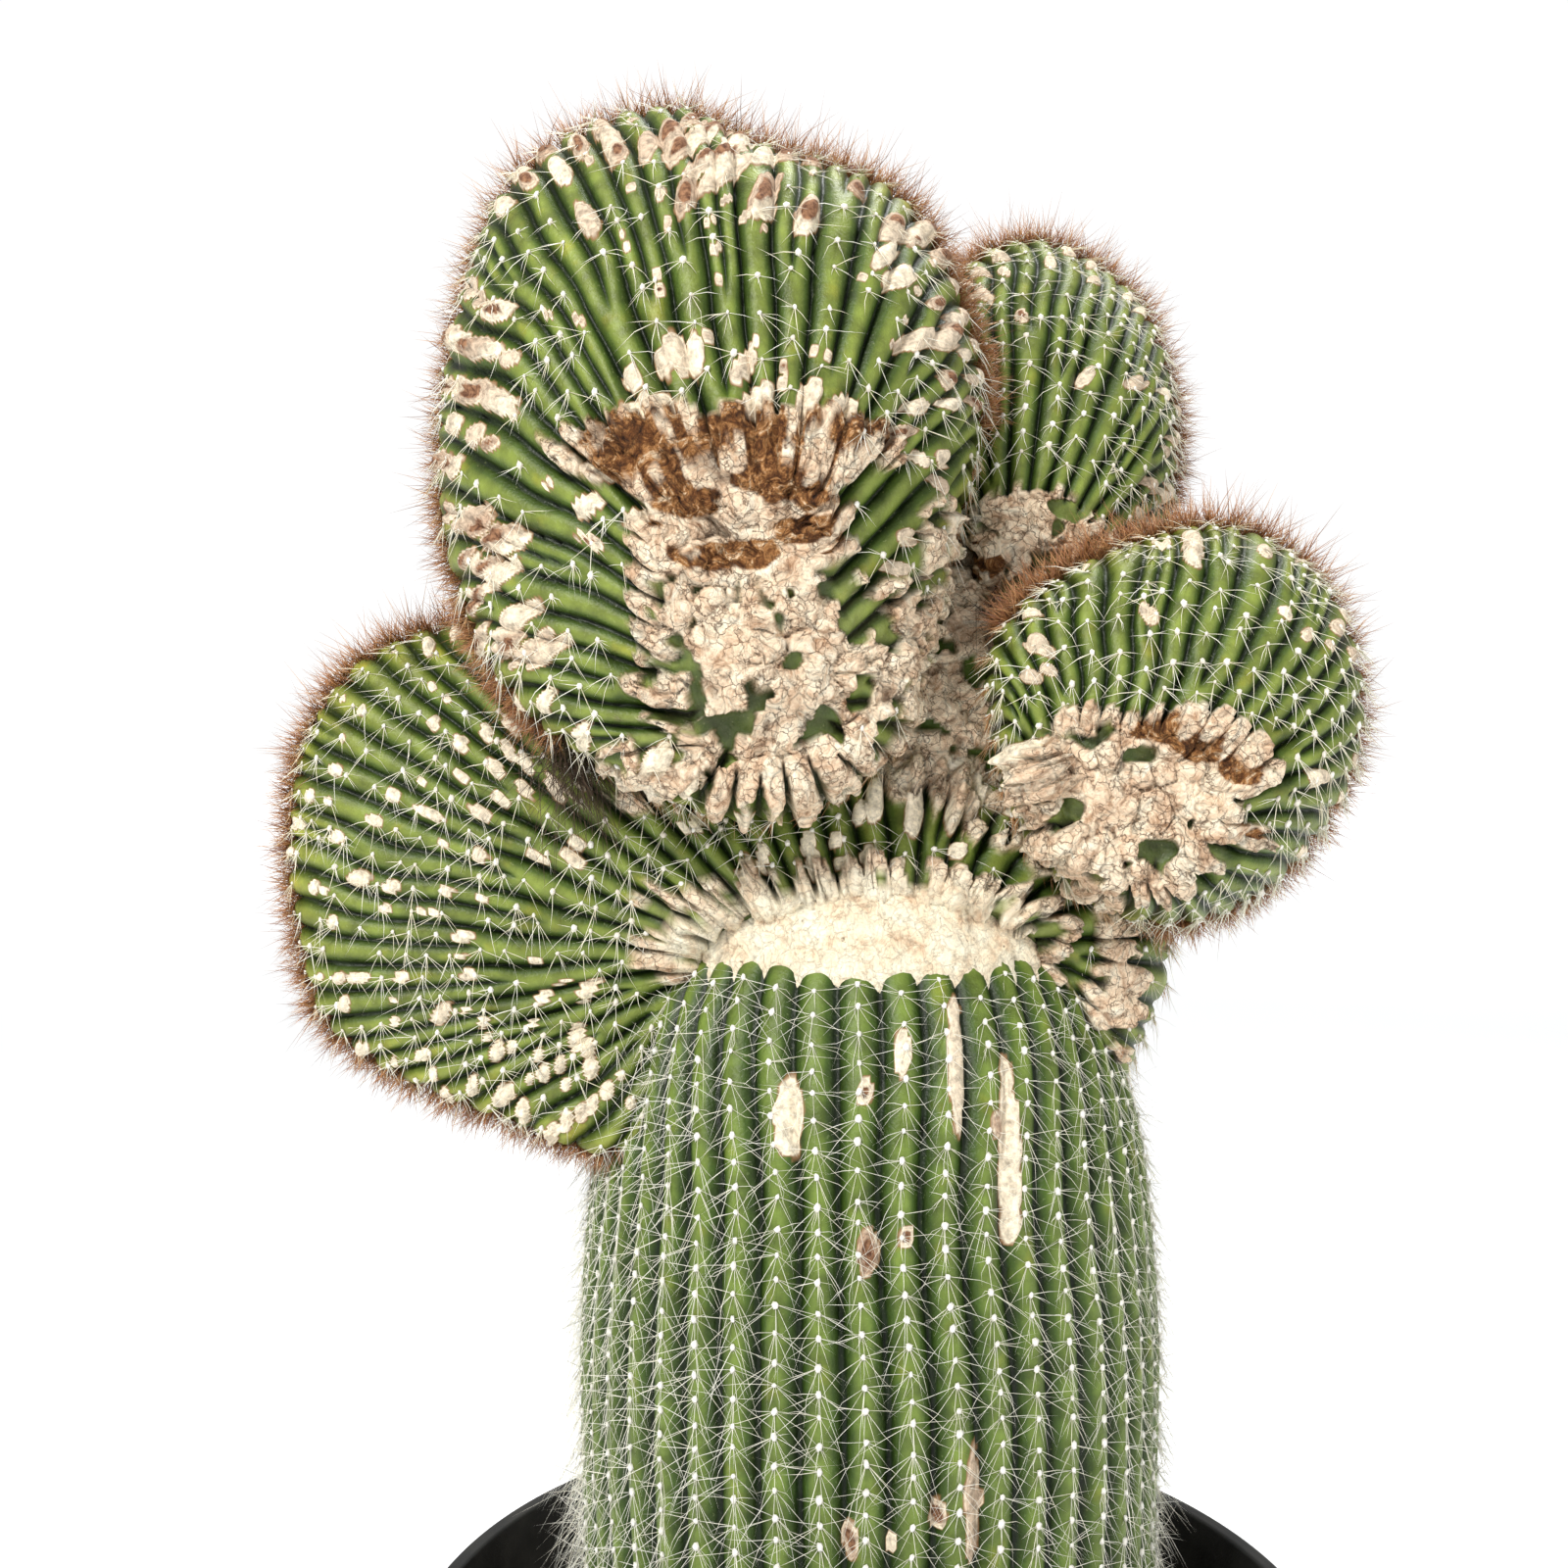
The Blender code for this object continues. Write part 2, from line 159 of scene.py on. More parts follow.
# Scattered oval scars: (count, share range, turn range, half length range, half width range,
# how brown the darkest are, height).
SCATTERED_SCARS = {
    "crown_fold": [(70, (0.18, 0.66), (0.40, 0.80), (4.5, 12.0), (2.6, 3.6), 1.0, 0.9),
                   (60, (0.16, 0.66), (0.10, 0.80), (1.3, 2.2), (1.1, 1.6), 1.0, 0.5),
                   (56, (0.08, 0.24), (0.36, 0.88), (3.0, 9.5), (1.9, 3.0), 1.0, 1.0),
                   (12, (0.97, 1.07), (0.20, 0.84), (2.5, 5.5), (1.9, 3.0), 0.2, 1.4),
                   (22, (0.16, 0.60), (0.02, 0.14), (3.5, 7.5), (2.4, 3.4), 0.5, 2.0),
                   (24, (0.60, 0.76), (0.20, 0.80), (3.0, 8.0), (1.8, 2.8), 0.8, 1.0)],
    "left_fold": [(84, (0.04, 0.50), (0.10, 0.86), (1.6, 4.4), (1.4, 2.6), 0.35, 1.5),
                  (54, (0.06, 0.50), (0.10, 0.80), (1.0, 1.8), (0.9, 1.4), 0.1, 1.0),
                  (44, (0.50, 0.78), (0.03, 0.44), (2.2, 5.5), (1.8, 2.8), 0.08, 2.0),
                  (34, (0.64, 0.88), (0.16, 0.62), (5.0, 9.5), (2.6, 3.6), 0.0, 2.8)],
    "right_fold": [(30, (0.05, 0.60), (0.25, 0.84), (2.0, 5.5), (1.6, 2.6), 0.7, 0.9),
                   (14, (0.84, 1.00), (0.02, 0.24), (4.0, 8.0), (2.4, 3.2), 0.1, 2.4)],
    "rear_fold": [(34, (0.05, 0.65), (0.25, 0.85), (3.0, 7.0), (1.8, 2.8), 0.8, 0.9)],
}
# Scars on the front of the column: (x, z, half width, half height, brownness, open ring).
COLUMN_SCARS = [(-27, -41, 4.0, 12.0, 0.10, False), (6, -23, 2.2, 7.0, 0.15, False),
                (-5, -34, 2.2, 3.4, 0.35, True), (-5, -77, 2.9, 6.6, 0.95, True),
                (6, -73, 1.9, 3.0, 0.50, True), (22, -26, 2.7, 19.5, 0.35, False),
                (37, -52, 2.9, 24.0, 0.20, False), (-10, -157, 2.2, 5.0, 0.80, True),
                (15, -150, 2.0, 3.6, 0.60, True), (25, -149, 2.6, 16.0, 0.70, False),
                (1.5, -158, 1.4, 2.2, 0.30, True), (33, -44, 2.0, 3.2, 0.90, True)]
OPEN_TONE = 0.72                              # browner scars have an open, dark middle
CLOSED_SCAR = 0.66                            # where the others stop short of it
SCAR_EDGE = 1.15                              # size of a scar's ragged outline
CORK_STEPS = 6                                # layers that the cork peels off in
CORK_THICK = 7.5                              # from the lowest layer to the highest
CORK_CRACK = 1.8                              # depth of the cracks

# Fields that every piece of skin carries for its material; the column adds "old".
SKIN_FIELDS = ("ridge", "cork", "rust", "young", "pale", "layer", "scar", "scar_tone")

WALL_LIGHT = 0.42                             # the studio wall as a light
WALL_WHITE = 1.02                             # and as the camera sees it


# ---- noise ----

def smoothstep(low, high, value):
    """0 at low and 1 at high, with soft ends; low may lie above high."""
    t = np.clip((value - low) / (high - low), 0.0, 1.0)
    return t * t * (3 - 2 * t)


def lattice(cell, seed):
    """Repeatable random value from 0 to 1 for each whole-number place."""
    x, y, z = cell[..., 0], cell[..., 1], cell[..., 2]
    mixed = (x * 374761393 + y * 668265263 + z * 2147483647 + seed * 1442695041) & 0xFFFFFFFF
    mixed = ((mixed ^ (mixed >> 13)) * 1274126177) & 0xFFFFFFFF
    return (mixed ^ (mixed >> 16)) / 4294967295.0


def value_noise(points, size, seed):
    """Smooth noise from 0 to 1 with lumps of the given size."""
    place = points / size
    cell = np.floor(place).astype(np.int64)
    inside = place - cell
    inside = inside * inside * (3 - 2 * inside)
    total = 0.0
    for corner in np.ndindex(2, 2, 2):
        weight = np.prod(np.where(np.array(corner) == 1, inside, 1 - inside), axis=-1)
        total = total + weight * lattice(cell + np.array(corner), seed)
    return total


def layered_noise(points, size, seed, octaves=3):
    """Noise from 0 to 1 with ever finer and weaker lumps."""
    total, weight, reach = 0.0, 1.0, 0.0
    for octave in range(octaves):
        total = total + weight * value_noise(points, size / 2 ** octave, seed + octave * 17)
        reach += weight
        weight *= 0.5
    return total / reach


def cell_noise(points, size, seed):
    """Distances to the nearest and the second nearest scattered point, in cell sizes."""
    place = points / size
    cell = np.floor(place).astype(np.int64)
    nearest = np.full(points.shape[:-1], 9.0)
    second = nearest.copy()
    for offset in np.ndindex(3, 3, 3):
        here = cell + np.array(offset) - 1
        spot = np.stack([lattice(here, seed + axis * 31) for axis in range(3)], axis=-1)
        away = np.linalg.norm(here + spot - place, axis=-1)
        second = np.minimum(second, np.maximum(nearest, away))
        nearest = np.minimum(nearest, away)
    return nearest, second


def terraces(value, count):
    """Turn a smooth slope into steps, like bark that comes off in layers."""
    step = value * count
    return (np.floor(step) + smoothstep(0.0, 0.35, step - np.floor(step))) / count


# ---- mesh helpers ----

def unit(vectors):
    return vectors / np.maximum(np.linalg.norm(vectors, axis=-1, keepdims=True), 1e-9)


def build_piece(name, points, corners, sizes, fields, material,
                node="cactus", slot="cactus_skin"):
    """Make a mesh object from arrays, in millimetres from the column's top, and place it."""
    world = np.asarray(points, float) * MM + np.array([0.0, 0.0, COLUMN_TOP * MM])
    return build_world_piece(name, world, corners, sizes, fields, material, node)


def build_world_piece(name, points, corners, sizes, fields, material, node):
    """Make a mesh object from arrays in metres, put it under the root, and hide the solid that it
    stands in for.
    """
    mesh = bpy.data.meshes.new(name)
    mesh.vertices.add(len(points))
    mesh.vertices.foreach_set("co", np.asarray(points, np.float32).ravel())
    mesh.loops.add(len(corners))
    mesh.loops.foreach_set("vertex_index", np.asarray(corners, np.int32))
    mesh.polygons.add(len(sizes))
    starts = np.concatenate(([0], np.cumsum(sizes)[:-1]))
    mesh.polygons.foreach_set("loop_start", starts.astype(np.int32))
    mesh.update(calc_edges=True)
    mesh.validate()
    for key, values in fields.items():
        layer = mesh.attributes.new(key, "FLOAT", "POINT")
        layer.data.foreach_set("value", np.asarray(values, np.float32).ravel())
    mesh.shade_smooth()
    mesh.materials.append(material)
    piece = bpy.data.objects.new(name, mesh)
    bpy.context.scene.collection.objects.link(piece)
    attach(piece, "root")
    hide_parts(node)
    return piece


def grid_quads(rows, columns, wrap_rows=False, wrap_columns=False):
    """Corners of the quads of a grid whose points are numbered row by row."""
    r = np.arange(rows if wrap_rows else rows - 1)[:, None]
    c = np.arange(columns if wrap_columns else columns - 1)[None, :]
    r_next, c_next = (r + 1) % rows, (c + 1) % columns
    quads = np.stack([r * columns + c, r_next * columns + c,
                      r_next * columns + c_next, r * columns + c_next], axis=-1)
    return quads.reshape(-1, 4)


def round_angles(count):
    """Angles of evenly spaced rows round a full turn, one to a row."""
    return np.arange(count)[:, None] * 2 * math.pi / count


def fan(ring, centre):
    """Triangles from a ring of point numbers to one more point."""
    ring = np.asarray(ring)
    return np.stack([ring, np.roll(ring, -1), np.full(len(ring), centre)], axis=-1)


def pack_faces(*groups):
    """Corners and face sizes of several arrays of faces."""
    corners = np.concatenate([group.ravel() for group in groups])
    sizes = np.concatenate([np.full(len(group), group.shape[1]) for group in groups])
    return corners, sizes


def closed_tube(grid, ends):
    """Points, corners and face sizes of a grid whose rows wrap round, with its ends closed."""
    rows, columns = grid.shape[:2]
    first = np.arange(rows) * columns
    total = rows * columns
    faces = pack_faces(grid_quads(rows, columns, wrap_rows=True),
                       fan(first[::-1], total), fan(first + columns - 1, total + 1))
    return (np.concatenate([grid.reshape(-1, 3), ends]), *faces)


def with_ends(fields, value):
    """Fields of a grid, followed by the two points that close its ends."""
    return {key: np.append(field, [value, value]) for key, field in fields.items()}


# ---- crest folds ----

def fold_number(name):
    """Place of a fold in the alphabet, which sets its random numbers apart."""
    return sorted(FOLDS).index(name)


def fold_seed(name):
    return fold_number(name) * 101 + 7


def outwardness(turn):
    """0 at the hubs, 1 on the margin."""
    return 1 - np.abs(1 - np.clip(turn, 0.0, 2.0))


def spline(control, share, closed):
    """Catmull-Rom curve through control points spaced evenly over share 0 to 1."""
    control = np.asarray(control, float)
    count = len(control)
    along = share * (count if closed else count - 1)
    first = np.floor(along).astype(int) if closed else np.clip(along.astype(int), 0, count - 2)
    t = (along - first)[..., None]

    def point(index):
        return control[index % count] if closed else control[np.clip(index, 0, count - 1)]

    a, b, c, d = (point(first + k) for k in (-1, 0, 1, 2))
    return 0.5 * (2 * b + (c - a) * t + (2 * a - 5 * b + 4 * c - d) * t ** 2
                  + (3 * b - a - 3 * c + d) * t ** 3)


def hub_level(fold, side):
    """How far forward, or back, the middle of a hub lies."""
    share = np.linspace(0.0, 1.0, 24, endpoint=False)
    return (spline(fold["hub"], share, True) + spline(fold[side], share, True))[:, 1].mean()


def fan_point(fold, share, turn):
    """Smooth fold: share runs along the margin, turn is 0 front hub, 1 margin, 2 back hub.

    Below 0 and above 2 the surface closes over the hub, towards the core line."""
    share, turn = np.broadcast_arrays(share, turn)
    closed = fold["closed"]
    margin, hub, front, back = (spline(fold[key], share, closed)
                                for key in ("margin", "hub", "front", "back"))
    inner = np.clip(turn, 0.0, 2.0)
    behind = (turn > 1)[..., None]
    if closed:
        start, end = (np.array(p, float) for p in fold["core"])
        line = end - start
        where = np.clip(((hub - start) @ line) / (line @ line), 0.0, 1.0)[..., None]
        seat = start + line * where
        hub = np.where(behind, seat + (hub - seat) * BACK_HUB, hub)
    angle = (inner * math.pi / 2)[..., None]
    reach = np.abs(np.sin(angle)) ** (2 / fold["fullness"])
    bulge = np.abs(np.cos(angle)) ** (2 / fold["fullness"])
    point = hub + (margin - hub) * reach + np.where(behind, back, front) * bulge
    if closed:
        seat[..., 1] = np.where(turn > 1, hub_level(fold, "back"), hub_level(fold, "front"))
        point = point + (seat - point) * np.abs(turn - inner)[..., None]
    else:
        point = point + np.array(CAP_LIP) * np.clip(-turn, 0.0, 1.0)[..., None]
    return point


def along_margin(fold, share, turn):
    """Step along the margin's direction, over twice SLOPE_SHARE."""
    return fan_point(fold, share + SLOPE_SHARE, turn) - fan_point(fold, share - SLOPE_SHARE, turn)


def rib_pitch(fold, along):
    """Distance from rib to rib, from a step along the margin."""
    return np.linalg.norm(along, axis=-1) / (2 * SLOPE_SHARE * fold["ribs"])


def rib_stray(name, smooth, turn):
    """How far ribs stray sideways, in rib widths."""
    wobble = FOLD_WOBBLE * (value_noise(smooth, 26.0, fold_seed(name)) - 0.5)
    return wobble * smoothstep(0.02, 0.2, outwardness(turn))


def rib_splits(fold, seed, rib, pitch):
    """How far bundles of four, two and one ribs have split in two, each from 0 to 1."""
    rng = np.random.default_rng(seed)
    splits = []
    for period in (2.0, 1.0, 0.5):
        patience = rng.uniform(0.58, 0.90, fold["ribs"])
        bundle = np.floor(rib / (2 * period)).astype(int) % fold["ribs"]
        ready = pitch * period / fold["rib_width"] - patience[bundle]
        splits.append(smoothstep(-0.05, 0.05, ready))
    return splits


def rib_profile(rib, period=1.0, groove=0.985):
    """Round-backed ribs with narrow grooves between them."""
    side = rib / period - np.floor(rib / period) - 0.5
    return np.sqrt(1 - groove * (2 * side) ** 2)


def patch_field(points, patches):
    """1 in the middle of the nearest patch, 0 on its edge, less outside."""
    field = np.full(points.shape[:-1], -9.0)
    for x, z, wide, high in patches:
        away = np.hypot((points[..., 0] - x) / wide, (points[..., 2] - z) / high)
        field = np.maximum(field, 1 - away)
    return field


def swirled(points, size, seed):
    """Points moved about irregularly, which breaks up straight edges in what follows them."""
    swirl = np.stack([value_noise(points, size, seed + axis) for axis in (1, 2, 3)], axis=-1)
    return points + size * (swirl - 0.5)


def cork_relief(points, seed):
    """Height of lumpy, cracked cork, and the smooth value that its layers follow."""
    warped = swirled(points, 5.0, seed)
    near, second = cell_noise(warped, 9.0, seed)
    layer = 0.6 * np.clip(1.1 - near, 0, 1) + 0.55 * layered_noise(warped, 8.0, seed + 5)
    cracks = smoothstep(0.09, 0.0, second - near) * smoothstep(
        0.45, 0.6, value_noise(points, 16.0, seed + 6))
    return CORK_THICK * terraces(layer, CORK_STEPS) - CORK_CRACK * cracks - 3.8, layer


def fold_normal(fold, share, turn, along):
    """Outward direction of the smooth fold, which turns straight out over a closed hub."""
    across = fan_point(fold, share, turn + SLOPE_TURN) - fan_point(fold, share, turn - SLOPE_TURN)
    past_hub = smoothstep(-0.10, -0.60, turn) + smoothstep(2.10, 2.60, turn)
    facing_out = np.stack([0 * turn, np.where(turn > 1, 1.0, -1.0), 0 * turn], axis=-1)
    normal = unit(np.cross(along, across)) * (1 - past_hub)[..., None]
    return unit(normal + facing_out * past_hub[..., None])


def fold_ribs(name, smooth, share, turn, pitch):
    """Ridge field, 1 on a rib's back and near 0 in a groove, and the height of the ribs."""
    fold, seed, outward = FOLDS[name], fold_seed(name), outwardness(turn)
    rib = share * fold["ribs"] + rib_stray(name, smooth, turn)
    ridge, width = rib_profile(rib, 4.0), np.full(rib.shape, 4.0)
    for period, split in zip((2.0, 1.0, 0.5), rib_splits(fold, seed, rib, pitch)):
        ridge = ridge * (1 - split) + rib_profile(rib, period) * split
        width = width * (1 - split) + period * split
    # ribs die out past the hub, in soft swells
    settled = smoothstep(0.0, 0.22, np.abs(turn - 1) - 1.0)
    swells = value_noise(smooth, 9.0, seed + 4)
    ridge = ridge * (1 - settled) + (0.50 + 0.5 * swells) * settled
    relief = np.minimum(FOLD_GROOVE * pitch * width, FOLD_DEEPEST) * (1 - settled)
    relief = relief * (1 - 0.35 * smoothstep(0.84, 1.0, outward))
    beads = value_noise(smooth, 4.2, seed + 3) * smoothstep(0.6, 0.95, outward)
    return ridge, relief * (ridge - 0.86) + 0.9 * beads * ridge + 4.0 * (swells - 0.6) * settled


def fold_cork(name, smooth, turn, normal, ridge, torn):
    """Cork field of a fold: its patches and its hub, with green islands left in them."""
    seed = fold_seed(name)
    field = patch_field(smooth, CORK_PATCHES[name]) * 1.1
    # only what faces forward is corky, except on the rear fold, which leans away
    facing = smoothstep(0.15, -0.15, normal[..., 1]) if name != "rear_fold" else 1.0
    field = field + 1.1 * (layered_noise(smooth, 12.0, seed + 9) - 0.5) + 0.75 * (ridge - 0.66)
    field = np.where(turn > 1, -1.0, field * facing - (1 - facing))
    field = field + 0.9 * (smoothstep(0.12, -0.08, turn) + smoothstep(1.9, 2.05, turn))
    islands = layered_noise(swirled(smooth, 6.0, seed + 30), 9.0, seed + 23, 2)
    islands = smoothstep(0.600, 0.630, islands) * smoothstep(-0.2, -0.6, torn)
    islands = islands * smoothstep(0.96, 0.8, np.abs(turn - 1) - 1.0)
    return smoothstep(0.0, 0.13, field) * (1 - islands * 0.97)


def add_scars(point, normal, smooth, fields, scars, seed):
    """Raise each oval scar on the skin and mark it in the fields."""
    for centre, lengthwise, crosswise, half_long, half_wide, tone, rise in scars:
        close = np.linalg.norm(smooth - centre, axis=-1) < half_long + half_wide
        delta = smooth[close] - centre
        oval = (delta @ lengthwise / half_long) ** 2 + (delta @ crosswise / half_wide) ** 2
        oval = oval + 0.6 * (value_noise(smooth[close], 3.2, seed + 80) - 0.5)
        inside = np.clip(SCAR_EDGE - oval, 0, 1 if tone > OPEN_TONE else CLOSED_SCAR)
        point[close] += normal[close] * (rise * np.sqrt(inside))[..., None]
        stronger = inside > fields["scar"][close]
        for key, value in (("scar", inside), ("scar_tone", np.full(inside.shape, tone))):
            fields[key][close] = np.where(stronger, value, fields[key][close])


def fold_skin(name, share, turn, scars=()):
    """Places, normals and surface fields of a fold's skin at pairs of share and turn."""
    fold, seed = FOLDS[name], fold_seed(name)
    share, turn = np.broadcast_arrays(share, turn)
    smooth = fan_point(fold, share, turn)
    along = along_margin(fold, share, turn)
    normal = fold_normal(fold, share, turn, along)
    ridge, height = fold_ribs(name, smooth, share, turn, rib_pitch(fold, along))
    torn = patch_field(smooth, RUST_PATCHES[name])
    cork = fold_cork(name, smooth, turn, normal, ridge, torn)
    lumps, layer = cork_relief(smooth, seed + 40)
    height = height * (1 - 0.5 * cork) + cork * (1.6 + lumps)

    rust = torn + 1.2 * (0.62 - ridge) + 2.0 * (layered_noise(smooth, 7.0, seed + 60) - 0.5)
    fields = {
        "ridge": np.clip(ridge, 0, 1),
        "cork": cork,
        "rust": smoothstep(-0.02, 0.16, rust),
        "young": smoothstep(0.45, 1.0, outwardness(turn)),
        "pale": smoothstep(-0.1, 0.3, patch_field(smooth, PALE_PATCHES)) * (name == "left_fold"),
        "layer": layer,
        "scar": np.zeros(share.shape),
        "scar_tone": np.zeros(share.shape),
    }
    point = smooth + normal * height[..., None]
    add_scars(point, normal, smooth, fields, scars, seed)
    return point, normal, fields


def ridge_share(name, rib, turn):
    """Share at which a rib's ridge lies for each turn; the straying is solved in two rounds."""
    fold = FOLDS[name]
    share = rib / fold["ribs"]
    for _ in range(2):
        share = (rib - rib_stray(name, fan_point(fold, share, turn), turn)) / fold["ribs"]
    return share


def scattered_scars(name):
    """Oval scars on the ridges, as place, directions, half sizes and brownness."""
    fold = FOLDS[name]
    rng = np.random.default_rng(fold_number(name) + 500)
    scars = []
    for count, shares, turns, lengths, widths, brown, rise in SCATTERED_SCARS[name]:
        rib = np.floor(rng.uniform(*shares, count) * fold["ribs"]) + 0.5
        turn = rng.uniform(*turns, count)
        share = ridge_share(name, rib, turn)
        half_long = rng.uniform(*lengths, count) * rng.uniform(0.6, 1.0, count)
        half_wide = rng.uniform(*widths, count)
        tone = brown * rng.uniform(0.15, 1, count)
        centre = fan_point(fold, share, turn)
        lengthwise = unit(fan_point(fold, share, turn + 0.01) - centre)
        crosswise = unit(fan_point(fold, share + 0.002, turn) - centre)
        scars += list(zip(centre, lengthwise, crosswise, half_long, half_wide, tone,
                          np.full(count, rise)))
    return scars


def grow_fold(name, material):
    """Skin of one crest fold."""
    fold = FOLDS[name]
    closed = fold["closed"]
    rows = fold["ribs"] * fold["samples"]
    share = np.arange(rows) / (rows if closed else rows - 1)
    front = np.linspace(0.0, 1.0, 76)
    back = np.linspace(1.0, 2.0, 32)[1:]
    if closed:
        over_front = np.linspace(-1.03, 0.0, 32)[:-1]
        over_back = np.linspace(2.0, 3.03, 9)[1:]
        turn = np.concatenate([over_front, front, back, over_back])
    else:
        turn = np.concatenate([np.linspace(-1.0, 0.0, 12)[:-1], front, back])
    point, _, fields = fold_skin(name, share[:, None], turn[None, :], scattered_scars(name))
    columns = len(turn)
    quads = grid_quads(rows, columns, wrap_rows=closed, wrap_columns=not closed)
    points = point.reshape(-1, 3)
    if closed:
        corners, sizes = pack_faces(quads)
    else:
        first, last = np.arange(columns), (rows - 1) * columns + np.arange(columns)
        centres = [points[first].mean(axis=0), points[last].mean(axis=0)]
        points = np.concatenate([points, centres])
        fields = with_ends(fields, 0.0)
        corners, sizes = pack_faces(quads, fan(first[::-1], rows * columns),
                                    fan(last, rows * columns + 1))
    return build_piece(name + "_skin", points, corners, sizes, fields, material)


# ---- column ----

def column_radius(z):
    """Radius over the ridges; z is measured from the column's top."""
    side, foot = COLUMN_RADIUS, COLUMN_FOOT
    heights = [foot - 20, foot + 8, foot + 26, foot + 60, -95, -57, -31, -19, 0, 18, 40]
    radii = [80, 88, side - 1, side, side, 90, 82.5, 77.5, 68.5, 63, 48]
    slopes = np.gradient(radii, heights)
    index = np.clip(np.searchsorted(heights, z) - 1, 0, len(heights) - 2)
    low, high = np.take(heights, index), np.take(heights, index + 1)
    t = (z - low) / (high - low)
    return (np.take(radii, index) * (1 + 2 * t) * (1 - t) ** 2
            + np.take(radii, index + 1) * t * t * (3 - 2 * t)
            + (high - low) * (np.take(slopes, index) * t * (1 - t) ** 2
                              - np.take(slopes, index + 1) * t * t * (1 - t)))


def column_angle(rib, z):
    """Angle of a rib round from the front. Front and back ribs keep their width to the top."""
    even = rib * 2 * math.pi / COLUMN_RIBS
    return even + 0.5 * RIB_SPREAD * smoothstep(-75, 0, z) * np.sin(2 * even)


def column_sway(seat):
    """How far the column's ribs stray sideways, in rib widths."""
    return COLUMN_SWAY * (value_noise(seat * np.array([1, 1, 0.45]), 30.0, 900) - 0.5)


def column_skin(rib, z):
    """Places, normals and fields of the column's skin; rib counts round from the front."""
    rib, z = np.broadcast_arrays(rib, z)
    base = column_radius(z)
    angle = column_angle(rib, z)
    around = np.stack([np.sin(angle), -np.cos(angle), np.zeros(angle.shape)], axis=-1)
    upright = np.stack([np.zeros(z.shape), np.zeros(z.shape), z], axis=-1)
    seat = around * base[..., None] + upright
    strayed = rib + column_sway(seat)
    ridge = rib_profile(strayed, groove=0.99)
    ending = np.sqrt(np.clip(1 - (np.clip(z + RIB_END, 0, None) / (RIB_END + 2.5)) ** 2, 0, 1))
    swelling = 1 + 0.05 * np.cos(z * 2 * math.pi / AREOLE_SPACING + np.floor(strayed) * 2.4)
    relief = RIB_RELIEF * base / COLUMN_RADIUS * swelling
    height = relief * (ridge * ending - 0.9) + 1.0 * (layered_noise(seat, 22.0, 910) - 0.5)
    normal = unit(around + np.array([0, 0, 0.15]) * smoothstep(-60, 0, z)[..., None])
    fields = {key: np.zeros(rib.shape) for key in SKIN_FIELDS}
    fields["ridge"] = ridge
    fields["old"] = np.ones(rib.shape)
    point = around * (base + height)[..., None] + upright
    for x, up, half_wide, half_high, tone, ring in COLUMN_SCARS:
        front = seat[..., 1] < 0
        oval = ((seat[..., 0] - x) / half_wide) ** 2 + ((z - up) / half_high) ** 2
        oval = oval + 1.1 * (value_noise(seat, 4.0, 930) - 0.5)
        inside = np.where(front, np.clip(SCAR_EDGE - oval, 0, 1), 0)
        shown = inside if ring else np.minimum(inside, CLOSED_SCAR)
        fields["scar"] = np.maximum(fields["scar"], shown)
        fields["scar_tone"] = np.where(inside > 0, tone, fields["scar_tone"])
        rise = 0.9 * smoothstep(0.0, 0.3, inside)
        rise = rise - 1.3 * smoothstep(0.6, 0.85, inside) * ring
        flakes = 0.9 * smoothstep(0.2, 0.5, inside) * (value_noise(seat, 2.4, 950) - 0.3)
        point = point + normal * (rise + flakes)[..., None]
    return point, normal, fields


def ridge_rib(rib, z):
    """Rib coordinate of a ridge at height z, with the sway taken off."""
    place = rib
    for _ in range(2):
        angle = column_angle(place, z)
        base = column_radius(z)
        seat = np.stack([np.sin(angle) * base, -np.cos(angle) * base, z], axis=-1)
        place = rib - column_sway(seat)
    return place


def grow_column(material):
    """Ribbed skin of the column, from inside the mix to its rounded rib ends."""
    rib = np.arange(COLUMN_RIBS * RIB_SAMPLES) / RIB_SAMPLES
    heights = np.concatenate([np.linspace(COLUMN_FOOT, -14, 120)[:-1],
                              np.linspace(-14, RIB_LEVEL, 24)])
    grid, _, fields = column_skin(rib[:, None], heights[None, :])
    points, corners, sizes = closed_tube(grid, [(0, 0, COLUMN_FOOT), (0, 0, RIB_LEVEL)])
    return build_piece("column_skin", points, corners, sizes, with_ends(fields, 0.0), material)


def cork_fields(shape, cork, layer):
    """Fields of a surface that is all cork, or cork and bare islands."""
    fields = {key: np.zeros(shape) for key in SKIN_FIELDS}
    fields["cork"] = np.broadcast_to(cork, shape)
    fields["layer"] = layer
    return fields


